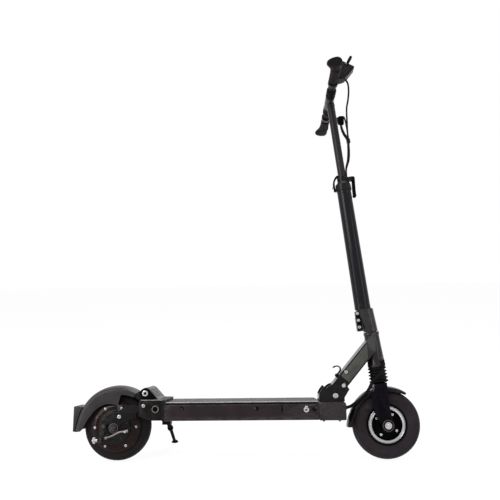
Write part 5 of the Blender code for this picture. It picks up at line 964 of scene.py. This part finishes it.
# %% Kickstand
KICK_PIVOT = Vector((-0.272, 0.062, 0.112))
KICK_LENGTH = 0.137
down = Vector((0.045, 0.787, -0.616)).normalized()
pin = down.cross(Vector((-0.96, 0.22, -0.17))).normalized()
kick = upright @ Matrix.Translation(KICK_PIVOT) @ Matrix((down, pin.cross(down), pin)).transposed().to_4x4()
floor_up = (kick.inverted().to_3x3() @ Vector((0, 0, 1))).normalized()
foot = Vector((KICK_LENGTH, 0, 0))
leg = [(0, 0.002), (0.0075, 0.002), (0.0072, 0.030), (0.0070, 0.0435), (0.0088, 0.0450), (0.0092, 0.0475),
       (0.0092, 0.0525), (0.0085, 0.0555), (0.0052, 0.0575), (0.0052, 0.0700), (0.0050, 0.1100),
       (0.0050, 0.1325), (0, 0.1325)]
sole = [(0, 0), (0.0105, 0), (0.0110, 0.0008), (0.0108, 0.0022), (0.0088, 0.0042), (0.0070, 0.0062), (0, 0.0064)]
whole = joined((capped(leg, 28, 0.0006), turn(-90, "Z")),
               (hoop(0.0030, 0.0088, -0.0080, 0.0080, 32, 0.0005), stood),
               (pin_across(0.0034, 0.0138, steps=20), stood), (capped(sole, 32), aimed(foot, floor_up)))
make("kickstand_leg", whole, kick, "kickstand", "pitch_black", ["kickstand"])
print("kickstand foot rests at", tuple(round(c, 4) for c in kick @ foot))

# %% [markdown]
# ## Swing arm and mudguards
#
# The swing arm is two cut plates on a cross tube, an eased solid. A screw on each side holds
# the mudguard's lug.

# %% Swing arm
dressed("swingarm", "painted_black", "swingarm", 0.0010, name="swingarm_plates")
heads = mirrored(lambda: screw(0.0056, 0.0036, 0.5, 0.6), (0.017, 0.0606, 0.033))
make("swingarm_screws", heads, rear_axle, "swingarm", "bright_steel")
print("swing arm and its screws")

# %% [markdown]
# A mudguard is a pressed or moulded sheet. Half its section is drawn at many angles round the
# axle and mirrored, the sections are bridged into one skin, and the skin is given a wall. The
# rear one comes down beside the tyre as a skirt, has a lug on each arm, and ends in a panel.

# %% Mudguard skin
def along(stations, angle):
    """A value read between (angle, value) stations."""
    for (a, low), (b, high) in zip(stations, stations[1:]):
        if a <= angle <= b:
            return low + (high - low) * (angle - a) / (b - a)
    return stations[-1][1]


def mudguard(angles, section, wall, rim=0.0005):
    """Bridge half sections of (sideways, radius), mirrored, from one angle to the next."""
    bm = bmesh.new()
    rows = []
    for angle in angles:
        half = section(angle)
        points = [(-y, r) for y, r in half] + [(y, r) for y, r in half[-2::-1]]
        row = [bm.verts.new((cos(radians(angle)) * r, y, sin(radians(angle)) * r)) for y, r in points]
        rows.append([bm.edges.new(pair) for pair in zip(row, row[1:])])
    for before, after in zip(rows, rows[1:]):
        bmesh.ops.bridge_loops(bm, edges=before + after)
    bmesh.ops.recalc_face_normals(bm, faces=bm.faces)
    middle = max(bm.faces, key=lambda face: face.calc_center_median().length)
    if middle.normal.dot(middle.calc_center_median()) < 0:
        bmesh.ops.reverse_faces(bm, faces=bm.faces)
    bmesh.ops.solidify(bm, geom=bm.faces[:], thickness=wall)
    sharp = [e for e in bm.edges if len(e.link_faces) == 2 and e.calc_face_angle(0) > radians(55)]
    rounded(bm, sharp, rim, clamp=True)
    return bm


# %% [markdown]
# The rear guard's crown and skirt are read from two short lists of angle and radius, so that its
# outline can be changed at one place without touching the rest.

# %% Rear mudguard
REAR_CROWN = [(58, 0.1200), (120, 0.1200), (150, 0.1198), (170, 0.1205), (186, 0.1265)]
REAR_SKIRT = [(58, 0.102), (79, 0.0960), (81, 0.0925), (83, 0.0620), (97, 0.0678), (114, 0.0733), (134, 0.0779),
              (156, 0.0823), (172, 0.0900), (183, 0.0990), (187, 0.1080)]
REAR_HALF = 0.0435


def rear_section(angle):
    crown, skirt = along(REAR_CROWN, angle), along(REAR_SKIRT, angle)
    knee = min(0.016, 0.6 * (crown - skirt))
    half = REAR_HALF
    low = skirt + 0.35 * (crown - knee - skirt)
    return [(half, skirt), (half, low), (half, crown - knee), (half * 0.985, crown - knee * 0.72),
            (half * 0.945, crown - knee * 0.48), (half * 0.86, crown - 0.0055), (half * 0.70, crown - 0.0028),
            (half * 0.52, crown - 0.0012), (half * 0.26, crown - 0.0003), (0, crown)]


angles = [58, 62, 66, 70, 74, 77, 79, 81, 82, 83, 85] + [87 + 3 * i for i in range(34)]
skin = mudguard(angles, rear_section, 0.0020)
inside = [(along(REAR_CROWN, a) - 0.0016, a) for a in (186, 180, 173, 165, 158, 150)]
TAIL_TOP, TAIL_FOOT = (-0.1290, 0.0620), (-0.1300, -0.0125)
tail = [(*TAIL_TOP, 0.004), (*TAIL_FOOT, 0.002), *[(r * cos(radians(a)), r * sin(radians(a))) for r, a in inside]]
lug = [(0.0105, 0.0345, 0.006), (0.0240, 0.0345, 0.006), (0.0215, 0.0640), (0.0040, 0.0660)]
spacers = mirrored(lambda: rod(0.0055, 0, 0.0068), (0.017, 0.0420, 0.0405))
whole = joined((skin, here), (plate(tail, -0.0340, 0.0340, 0.0010), here), (plates(lug, 0.0415, 0.0432), here),
               (spacers, here))
make("rear_mudguard", whole, rear_axle, "swingarm", "guard_black", ["rear_fender"], recalculate=False)
heads = mirrored(lambda: screw(0.0034, 0.0022), (0.0190, 0.0432, 0.0555))
make("mudguard_tab_screws", heads, rear_axle, "swingarm", "bright_steel")
print("rear mudguard of", len(angles), "sections")

# %% [markdown]
# The tail light is a red block on the tail panel, tilted as the panel is. Its face is cut into
# a grid, and each cell stands out a little, as on the lens of a real reflector.

# %% Tail light
tilt = degrees(atan2(TAIL_TOP[0] - TAIL_FOOT[0], TAIL_TOP[1] - TAIL_FOOT[1]))
lens = block((-0.0024, 0), (-0.024, 0.024), (0.030, 0.052), 0.0008)
faces = [f for f in lens.faces if f.normal.x < -0.9 and f.calc_area() > 5e-4]
bmesh.ops.subdivide_edges(lens, edges=list({e for f in faces for e in f.edges}), cuts=5, use_grid_fill=True)
cells = [f for f in lens.faces if f.normal.x < -0.9 and f.calc_center_median().x < -0.00239]
bmesh.ops.inset_individual(lens, faces=cells, thickness=0.0003, depth=0.0004)
make("tail_light_lens", lens, rear_axle @ at(-0.1298, 0, 0) @ turn(tilt, "Y"), "swingarm", "red_lens",
     ["tail_light"])
print("tail light of", len(cells), "cells")

# %% [markdown]
# ## Neck and head tube
#
# The neck is a folded sheet beam from the deck to the steering line. Its side carries a pressed
# grey panel with black edges, so a thin plate with rounded corners lies on each side of the
# beam. The lock pin slides in a slot across it, pulled by a hooked lever on top.

# %% Neck
dressed("neck_beam", "painted_black", "neck", 0.0012)
NECK_HALF = 0.0355
NECK_BOLT = (0.074, 0.0376, 0.0185)
to_neck = neck.inverted() @ steering


def neck_end(behind, height):
    """Where a plane behind the steering line crosses the neck, at a height over its middle line."""
    start = to_neck @ Vector((-behind, 0, 0))
    way = to_neck.to_3x3() @ Vector((0, 0, 1))
    return start.x + way.x * (height - start.z) / way.z


low, high = -0.0078, 0.0228
outline = [(0.0560, low, 0.003), (neck_end(0.0262, low), low, 0.002), (neck_end(0.0215, high), high, 0.001),
           (0.0560, high, 0.003)]
panels = plates(outline, NECK_HALF - 0.0012, NECK_HALF + 0.0006, 0.0003)
make("neck_side_panels", panels, neck, "neck", "neck_grey")
bolts = mirrored(lambda: screw(0.0050, 0.0034, 0.5, 0.6), NECK_BOLT)
make("neck_side_bolts", bolts, neck, "neck", "bright_steel")
dressed("head_tube", "tube_black", "neck", 0.0009)
# Painted shade in the sockets of the neck bolts.
shadows("neck_socket_shade", neck, "neck", [(*NECK_BOLT, 0.0050, 0.0034)])
make("head_cap_ring", hoop(0.0212, 0.0236, 0.2722, 0.2734, 64), steering @ stood, "neck", "plated_black")
print("neck panels", round(outline[1][0] - outline[0][0], 3), "m long")

# %% [markdown]
# A bent strip is drawn as its side line, pulled out to its width, and given a thickness: that
# is how the hooked release lever, the catch, the throttle paddle and the brake blade are made.
# The release lever is the first of them: a hook for the thumb, with a tongue down to the pin.

# %% Bent strips, and the release lever
def bent_strip(path, thickness, half, edge=0.0004, bend=0.006):
    bm, line = wire([(x, -half, z) for x, z in path], False)
    round_corners(bm, line[1:-1], bend, 4)
    grown = bmesh.ops.extrude_edge_only(bm, edges=bm.edges[:])["geom"]
    bmesh.ops.translate(bm, vec=(0, 2 * half, 0), verts=[g for g in grown if isinstance(g, bmesh.types.BMVert)])
    bmesh.ops.recalc_face_normals(bm, faces=bm.faces)
    bm.normal_update()
    for vert in bm.verts:
        vert.co += vert.normal * thickness / 2
    bmesh.ops.solidify(bm, geom=bm.faces[:], thickness=thickness)
    rims = [e for e in bm.edges if e.calc_face_angle(0) > radians(60)]
    rounded(bm, rims, edge, clamp=True)
    return bm


dressed("lock_pin", "bright_steel", "lock_pin", 0.0004)
blade = [(0, 0), (0.0110, 0), (0.0180, 0.0004), (0.0232, 0.0035), (0.0250, 0.0090), (0.0232, 0.0150),
         (0.0180, 0.0200), (0.0105, 0.0228)]
whole = joined((bent_strip(blade, 0.0036, 0.0085, 0.0006), here), (pin_across(0.0034, 0.0088), here),
               (pin_across(0.0019, 0.0125), here), (bent_strip([(0, 0), (0, -0.0285)], 0.0026, 0.0025), here))
make("release_lever_hook", whole, neck @ at(0.050, 0, 0.0305), "release_lever", "pitch_black", ["release_lever"])
print("lock pin and release lever")

# %% [markdown]
# ## Steering column
#
# A tapered alloy tube that carries the telescopic mast. It is turned from its wall section,
# with a fine groove near each end. Its foot sits in a split clamp with three pinch bolts at the
# back, in a dark ear with a tapped strip beyond it. Its head sits in a collar with the height
# catch behind and the clamping lever in front; both are bent strips with pins across.

# %% Column, clamp and collar
COLUMN_X = -0.0135
CLAMP_BOLT_X, CLAMP_BOLTS = -0.034, (0.2925, 0.3135, 0.3345)
column = [(0.0245, 0.3453), (0.0243, 0.3600), (0.0239, 0.3606), (0.0239, 0.3618), (0.0242, 0.3624),
          (0.0222, 0.7110), (0.0218, 0.7116), (0.0218, 0.7128), (0.0221, 0.7134), (0.0220, 0.7380),
          (0.0195, 0.7380), (0.0220, 0.3453)]
make("column_tube", spun(column, 72, 0.0002), steering @ at(COLUMN_X, 0, 0) @ stood, "steering", "column_black",
     ["steering_column"])
dressed("stem_clamp", "tube_black", "steering", 0.0009)
bolts = joined(*[(screw(0.0046, 0.0038, 0.52, 0.6), at(CLAMP_BOLT_X, -0.0107, z) @ turn(180, "X"))
                 for z in CLAMP_BOLTS],
               *[(rod(0.0026, 0, 0.0246, 16), at(CLAMP_BOLT_X, -0.0106, z)) for z in CLAMP_BOLTS])
make("clamp_bolts_bright", bolts, steering, "steering", "bright_steel", ["stem_clamp_bolts"])
make("clamp_bolt_strip", block((-0.0388, -0.0295), (0.0108, 0.0140), (0.283, 0.3405), 0.0006), steering, "steering",
     "plated_black", ["stem_clamp_bolts"])
make("clamp_ear", block((-0.0390, -0.0240), (-0.0107, 0.0110), (0.2838, 0.3408), 0.0015), steering, "steering",
     "pitch_black")
dressed("column_collar", "painted_black", "steering", 0.0008)

lever = [(0.0012, 0.0030), (0.0005, -0.0100), (-0.0008, -0.0220), (-0.0020, -0.0370), (-0.0028, -0.0560)]
whole = joined((bent_strip(lever, 0.0104, 0.0058, 0.0016), here), (pin_across(0.0062, 0.0062), here),
               (pin_across(0.0019, 0.0125), here), (pin_across(0.0058, 0.0066, 0.0010), at(-0.0030, 0, -0.0560)),
               (mirrored(lambda: screw(0.0040, 0.0030), (0, 0.0104, 0)), here))
make("quick_release_blade", whole, steering @ at(0.0200, 0, 0.7590), "quick_release", "pitch_black",
     ["quick_release_lever"])
catch = [(0, 0), (-0.0008, 0.0100), (-0.0008, 0.0220), (0.0022, 0.0320), (0.0075, 0.0395), (0.0120, 0.0445),
         (0.0161, 0.0460)]
whole = joined((bent_strip(catch, 0.0056, 0.0058, 0.0012), here), (pin_across(0.0034, 0.0060), here),
               (pin_across(0.0014, 0.0092, 0.0002), here),
               (bent_strip([(-0.0008, 0.0150), (-0.0045, 0.0120), (-0.0070, 0.0075)], 0.0018, 0.0045), here))
make("height_catch", whole, steering @ at(-0.0414, 0, 0.7275), "height_latch", "pitch_black", ["height_latch"])
print("column, clamp, collar and levers")

# %% [markdown]
# ## Fork, bellows and front mudguard
#
# The fork is a pair of wide cast blades under a crown with a bright line on each side. Low down,
# the front edge of the blades is drawn back a little, so that the rim and its screw show as they
# should. A rubber bellows covers the spring: a zigzag profile with rounded peaks, turned round
# the steering line.
# The bright line on each side of the crown is a thin bright strip along its top edge, a painted highlight.

# %% Fork and bellows
BLADE_TOP, BLADE_FOOT, DRAWN_BACK = 0.064, 0.008, 0.0045
blades = dressed("fork", "fork_black", "fork", 0.0016, angle=38)
back = steering.inverted()
for vert in blades.data.vertices:
    local = back @ vert.co
    low_end = (max(0.0, min(1.0, (BLADE_TOP - local.z) / 0.024))
               * max(0.0, min(1.0, (local.z - BLADE_FOOT) / 0.012)))
    if local.x > 0.010 and low_end:
        vert.co -= steering.to_3x3() @ Vector((DRAWN_BACK * low_end, 0, 0))
# Painted highlight: a thin bright strip along the top edge of the crown, on each side.
crown_highlight = plates(rectangle((-0.0205, 0.0140), (0.1196, 0.1203)), 0.0379, 0.0383, 0.0001)
make("fork_crown_highlight", crown_highlight, steering, "fork", "bright_steel")
RIBS = 5
LOW, HIGH = 0.1213, 0.1687
skin = []
for i in range(2 * RIBS + 1):
    share = i / (2 * RIBS)
    radius = (0.0222 if i % 2 == 0 else 0.0276) + 0.0010 * share
    level = HIGH + (LOW - HIGH) * share
    skin += [(radius, level + 0.0010), (radius, level - 0.0010)] if 0 < i < 2 * RIBS else [(radius, level)]
bellows = make("bellows_rubber", spun([*skin, (0.0185, LOW), (0.0185, HIGH)], 72, 0.0008), steering @ stood, "fork",
               "black_rubber", ["bellows"])
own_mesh(bellows)
print("fork, and bellows of", RIBS, "ribs")

# %% [markdown]
# The front mudguard hugs the tyre, narrows towards its front end, and lifts a little behind. It
# is made like the rear one, from half sections, and hangs under the crown by a tab.

# %% Front mudguard
FRONT_START, REAR_LIFT = 48.5, 156


def front_section(angle):
    crown = 0.1107 + (0.0062 * (angle - REAR_LIFT) / 20.5 if angle > REAR_LIFT else 0)
    taper = min(1.0, 0.55 + 0.45 * (angle - FRONT_START) / 16)
    half, drop = 0.0310 * taper, 0.0140 * taper
    return [(half, crown - drop), (half * 0.992, crown - drop * 0.78), (half * 0.970, crown - drop * 0.56),
            (half * 0.92, crown - drop * 0.38), (half * 0.84, crown - drop * 0.24),
            (half * 0.70, crown - drop * 0.13), (half * 0.52, crown - drop * 0.06),
            (half * 0.26, crown - drop * 0.015), (0, crown)]


angles = [FRONT_START + 3.2 * i for i in range(41)]
skin = mudguard(angles, front_section, 0.0022, 0.0006)
tab = block((-0.0150, 0.0100), (-0.0130, 0.0130), (0.1077, 0.1107), 0.0005)
screws = [(screw(0.0040, 0.0018), at(x, 0, 0.1078) @ turn(-90, "X")) for x in (-0.008, 0.004)]
make("front_mudguard", joined((skin, here), (tab, here), *screws), steering, "fork", "painted_black",
     ["front_fender"], recalculate=False)
print("front mudguard of", len(angles), "sections")

# %% [markdown]
# ## Cables
#
# The main harness leaves the head tube, passes beside the bellows and dives into the nose of the
# deck, so it must bend when the neck folds; here it is drawn in place and tied to no body. The
# rear brake cable runs the same way between the deck and the swing arm.

# %% Harness and brake cable
out = Vector((cos(radians(-55)), sin(radians(-55)), 0))
lead = [steering @ (out * reach + Vector((0, 0, level))) for reach, level in
        ((0.0205, 0.1933), (0.0265, 0.1868), (0.0315, 0.1810))]
lead += [steering @ Vector(p) for p in
         ((0.0150, -0.0355, 0.1690), (0.0050, -0.0405, 0.153), (-0.012, -0.0430, 0.139),
          (-0.031, -0.0440, 0.121), (-0.041, -0.0430, 0.1075))]
lead += [upright @ Vector(p) for p in
         ((0.326, -0.0355, 0.183), (0.306, -0.0335, 0.167), (0.285, -0.0305, 0.1535), (0.2665, -0.030, 0.150))]
harness = make("front_harness_lead", tube(lead, 0.0045, 20), here, None, "cord_black", ["front_harness"])
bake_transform(harness)
cuff = spun([(0.0040, 0), (0.0068, 0), (0.0068, 0.0030), (0.0056, 0.0060), (0.0050, 0.0062), (0.0050, 0.0078),
             (0.0044, 0.0090), (0.0040, 0.0090)], 28, 0.0003)
make("front_harness_cuff", cuff, upright @ aimed((0.2712, -0.0302, 0.1508), (1, -0.02, 0.16)), "deck",
     "black_rubber")
run = [(-0.3655, -0.0660, 0.0960), (-0.3520, -0.0664, 0.1060), (-0.3430, -0.0672, 0.1250),
       (-0.3420, -0.0684, 0.1420), (-0.3345, -0.0690, 0.1495), (-0.3110, -0.0690, 0.1500)]
cable = make("rear_brake_cable_run", tube(run, 0.0023, 14), upright, None, "cord_black", ["rear_brake_cable"])
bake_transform(cable)
print("harness through", len(lead), "points, rear brake cable through", len(run))

# %% [markdown]
# ## Mast and handlebar
#
# The mast is a plain black tube that ends in a cross tube. Each half of the bar folds down on a
# pin through a flat lug. Tubes and pins are turned shapes, and the halves are eased solids.

# %% Mast and bars
MAST_X = -0.0120
tube_wall = [(0.0125, 0.600), (0.0125, 1.0220), (0.0105, 1.0220), (0.0105, 0.600)]
cross = [(0, -0.0457), (0.0125, -0.0457), (0.0145, -0.0440), (0.0145, 0.0440), (0.0125, 0.0457), (0, 0.0457)]
parts = [(spun(tube_wall, 64, 0.0003), at(MAST_X, 0, 0) @ stood),
         (capped(cross, 64, 0.0006), at(BAR_X, 0, BAR_Z)),
         (spun([(0.0110, 0), (0.0139, 0.0002), (0.0128, 0.0030), (0.0124, 0.0036), (0.0110, 0.0036)], 64, 0.0003),
          at(MAST_X, 0, 1.0115) @ turn(-90, "X")),
         (plates(rectangle((-0.0185, -0.0105), (1.0194, 1.0326)), 0.0430, BAR_JOINT, 0.0005), here)]
for side in SIDES:
    joint = at(BAR_X, side * BAR_JOINT, BAR_Z) @ turn(90, "Z")
    parts += [(pin_across(0.0066, 0.0040, 0.0004, 32), joint), (pin_across(0.0030, 0.0084, steps=20), joint)]
make("mast_tube", joined(*parts), steering, "mast", "mast_black", ["upper_tube"])
for word in ("right", "left"):
    dressed(f"bar_{word}", "bar_black", f"bar_{word}", 0.0006, name=f"bar_{word}_tube")
print("mast, cross tube and both halves of the bar")

# %% [markdown]
# A knurled sleeve slides over each joint of the bar to lock it. Grips are moulded rubber: close
# rings along the middle, and a trumpet at the end that keeps the hand on. Both are one profile
# turned round the bar; the trumpet is then pulled backwards into a rest for the palm.

# %% Sleeves and grips
BARS = {"right": (right_bar, turn(180, "X")), "left": (left_bar, here)}
START, LONG = -0.0137, 0.0520
END = START + LONG
sleeve = [(0.0113, START), (0.0142, START), (0.0150, START + 0.0008), (0.0150, START + 0.0080),
          (0.0143, START + 0.0088), (0.0143, START + 0.0102)]
for i in range(12):
    level = START + 0.0108 + 0.0022 * i
    sleeve += [(0.0150, level), (0.0150, level + 0.0012), (0.01465, level + 0.0015), (0.01465, level + 0.0019)]
sleeve += [(0.0150, END - 0.0100), (0.0132, END - 0.0060), (0.0132, END), (0.0113, END)]
BAR_LENGTH, GRIP_FROM = 0.225, 0.1055
grip = [(0.0112, GRIP_FROM), (0.0150, GRIP_FROM), (0.0150, GRIP_FROM + 0.0060), (0.0140, GRIP_FROM + 0.0072),
        (0.0140, GRIP_FROM + 0.0088), (0.0148, GRIP_FROM + 0.0098)]
level = GRIP_FROM + 0.0120
while level < BAR_LENGTH - 0.034:
    swell = 0.0148 + 0.0027 * max(0.0, (level - 0.150) / 0.044) ** 1.4
    grip += [(swell, level), (swell, level + 0.0022), (swell - 0.0006, level + 0.0026),
             (swell - 0.0006, level + 0.0030)]
    level += 0.0034
grip += [(0.0177, BAR_LENGTH - 0.0310), (0.0196, BAR_LENGTH - 0.0220), (0.0225, BAR_LENGTH - 0.0125),
         (0.0232, BAR_LENGTH - 0.0060), (0.0226, BAR_LENGTH - 0.0010), (0.0200, BAR_LENGTH + 0.0012),
         (0.0120, BAR_LENGTH + 0.0018), (0.0112, BAR_LENGTH + 0.0010), (0.0040, BAR_LENGTH + 0.0012),
         (0.0030, BAR_LENGTH + 0.0024), (0, BAR_LENGTH + 0.0026)]


def palm_rest(shape):
    """Pull the end of a grip backwards into a wing for the palm and flatten its other sides."""
    for vert in shape.verts:
        share = max(0.0, min(1.0, (vert.co.y - BAR_LENGTH + 0.052) / 0.040))
        share = share * share * (3 - 2 * share)
        vert.co.x *= 1 + (0.30 if vert.co.x < 0 else -0.38) * share
        vert.co.z *= 1 - 0.38 * share
    return shape


for word, (space, facing_out) in BARS.items():
    make(f"sleeve_{word}_knurled", spun(sleeve, 72, 0.0002), space @ facing_out, f"sleeve_{word}", "sleeve_black",
         [f"sleeve_{word}"])
    rubber = palm_rest(spun([*grip, (0, BAR_LENGTH + 0.0004), (0.0112, BAR_LENGTH + 0.0004)], 72, 0.0002))
    make(f"grip_{word}_moulded", rubber, space @ facing_out, f"bar_{word}", "grip_rubber", [f"grip_{word}"])
print("sleeves of", len(sleeve), "steps and grips of", len(grip))

# %% [markdown]
# ## Display, throttle and brake lever
#
# On the right half of the bar sit a small display and a thumb paddle. The housing is the eased
# solid with four ribs laid on its outer side; the window is a dark glossy pane in its recess,
# left plain, and the button is a turned cap. The paddle is a bent strip on a pin.

# %% Display and throttle
dressed("display_housing", "black_plastic", "bar_right", 0.0011, name="display_shell")
bars = joined(*[(block((-0.0150, 0.0150), (-0.1053, -0.1040), (-0.0009, 0.0009), 0.0004),
                 at(0.0420 - 0.0042 * i, 0, 0.0300 + 0.0052 * i) @ turn(-40, "Y")) for i in range(-1, 3)])
make("display_side_ribs", bars, right_bar, "bar_right", "mast_black")
FACE_LOW, FACE_HIGH = (0.010, 0.020), (0.029, 0.055)
rise = degrees(atan2(FACE_HIGH[1] - FACE_LOW[1], FACE_HIGH[0] - FACE_LOW[0]))
face = right_bar @ at(FACE_LOW[0], 0, FACE_LOW[1]) @ turn(-rise, "Y")
pane = plate(rectangle((0.0113, 0.0362), (-0.0012, -0.0003)), -0.0987, -0.0728, 0.0003)
make("display_window", pane, face, "bar_right", "window_glass")
cap = capped([(0, -0.0034), (0.0029, -0.0034), (0.0029, 0.0010), (0.0022, 0.0014), (0.0016, 0.0011), (0, 0.0010)],
             32, 0.0002)
make("display_button_cap", cap, face @ at(0.0058, -0.0950, 0) @ stood, "display_button", "button_grey",
     ["display_button"])
paddle = [(0.0005, 0.0005), (0.0050, 0.0090), (0.0090, 0.0160), (0.0180, 0.0278)]
whole = joined((bent_strip(paddle, 0.0078, 0.0079, 0.0018, 0.01), at(0, -0.0961, 0)),
               (pin_across(0.0042, 0.0079, 0.0006), at(0, -0.0961, 0)),
               (pin_across(0.0020, 0.0039), at(0, -0.0861, 0)))
make("throttle_paddle", whole, right_bar @ at(0.0455, 0, 0.0405), "throttle", "pitch_black", ["throttle_trigger"])
print("display", round(rise), "degrees steep, its button and the throttle")

# %% [markdown]
# The brake lever sits on the left half, in a perch that is an eased solid with a dark cheek
# beside it. Its blade is a bent strip with a round knob at its end. Perch and lever hang down by
# the same angle, so their parts are drawn in one tilted space.

# %% Brake lever
PERCH_TILT = 23
PIVOT_X, PIVOT_Y = 0.0490, 0.0810
dressed("brake_perch", "painted_black", "bar_left", 0.0010)
cheek = plate([(0.0175, 1.0010, 0.006), (0.0365, 0.9985, 0.006), (0.0325, 0.9665, 0.006), (0.0120, 0.9690, 0.006)],
              0.0725, 0.0752, 0.0008)
make("brake_perch_cheek", cheek, steering, "bar_left", "pitch_black")
tilted = left_bar @ turn(PERCH_TILT, "Y")
lever_space = tilted @ at(PIVOT_X, PIVOT_Y, 0)
blade = [(0, 0), (0.0062, 0.0120), (0.0090, 0.0300), (0.0160, 0.0560), (0.0290, 0.0880), (0.0410, 0.1080)]
whole = joined((bent_strip(blade, 0.0066, 0.0052, 0.0018, 0.02), turn(-97, "X")),
               (pin_across(0.0058, 0.0046, 0.0006, 32), stood),
               (pin_across(0.0042, 0.0048, 0.0008), turn(-7, "X") @ at(0.0412, 0.1085, 0) @ stood))
make("brake_lever_blade", whole, lever_space, "brake_lever", "pitch_black", ["brake_lever"])
heads = joined(*[(screw(0.0036, 0.0016), tilted @ at(PIVOT_X, PIVOT_Y, side * 0.0068) @ turn(90 * side, "X"))
                 for side in SIDES],
               (screw(0.0030, 0.0022), tilted @ at(-0.0008, 0.0800, 0.0130) @ stood))
make("brake_perch_screws", heads, here, "bar_left", "bright_steel")
barrel = spun([(0.0022, 0), (0.0044, 0), (0.0044, 0.0050), (0.0038, 0.0056), (0.0038, 0.0066), (0.0044, 0.0072),
               (0.0044, 0.0125), (0.0034, 0.0135), (0.0022, 0.0135)], 12, 0.0002)
make("brake_adjuster", barrel, tilted @ at(0.0420, 0.0580, 0), "bar_left", "plated_black", ["brake_perch"])
print("brake perch, lever and adjuster")

# %% [markdown]
# Two cords hang in loops from the bar to a rubber tie and run down into the column. Each is cut
# in two at the tie, into an upper part along its half of the bar and a lower part along the mast;
# neither part is tied to a body here.

# %% Bar cables
CORD = 0.0028
display_route = [(0.0249, -0.139, 1.0308), (0.0272, -0.1383, 1.027), (0.0295, -0.137, 1.022),
                 (0.0315, -0.127, 1.009), (0.0300, -0.095, 0.986), (0.0275, -0.060, 0.972),
                 (0.0270, -0.030, 0.941), (0.0240, -0.0050, 0.885), (0.0145, -0.0046, 0.825),
                 (0.0034, -0.0042, 0.790), (0.0032, -0.0042, 0.720)]
brake_route = [(0.0242, 0.1175, 1.0096), (0.0242, 0.1125, 1.0096), (0.0345, 0.0900, 1.0030),
               (0.0365, 0.0700, 0.9900), (0.0350, 0.0450, 0.9500), (0.0272, 0.0012, 0.885),
               (0.0185, 0.0010, 0.825), (0.0040, 0.0010, 0.788), (0.0036, 0.0010, 0.720)]
for word, body, route, tie in (("display", "bar_right", display_route, 7), ("brake", "bar_left", brake_route, 5)):
    upper = make(f"{word}_cable_upper", tube(route[:tie + 1], CORD, 12), steering, None, "cord_black",
                 ["bar_cables"])
    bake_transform(upper)
    lower = make(f"{word}_cable_lower", tube(route[tie:], CORD, 12), steering, None, "cord_black",
                 ["bar_cables"])
    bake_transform(lower)
band = joined(*[(block((0.0198, 0.0312), (-0.0082, 0.0046), (level, level + 0.0046), 0.0012), here)
                for level in (0.8785, 0.8860)])
make("cable_tie_band", band, steering, "mast", "black_rubber", ["bar_cables"])
print("two cords of", len(display_route), "and", len(brake_route), "points, and their tie")
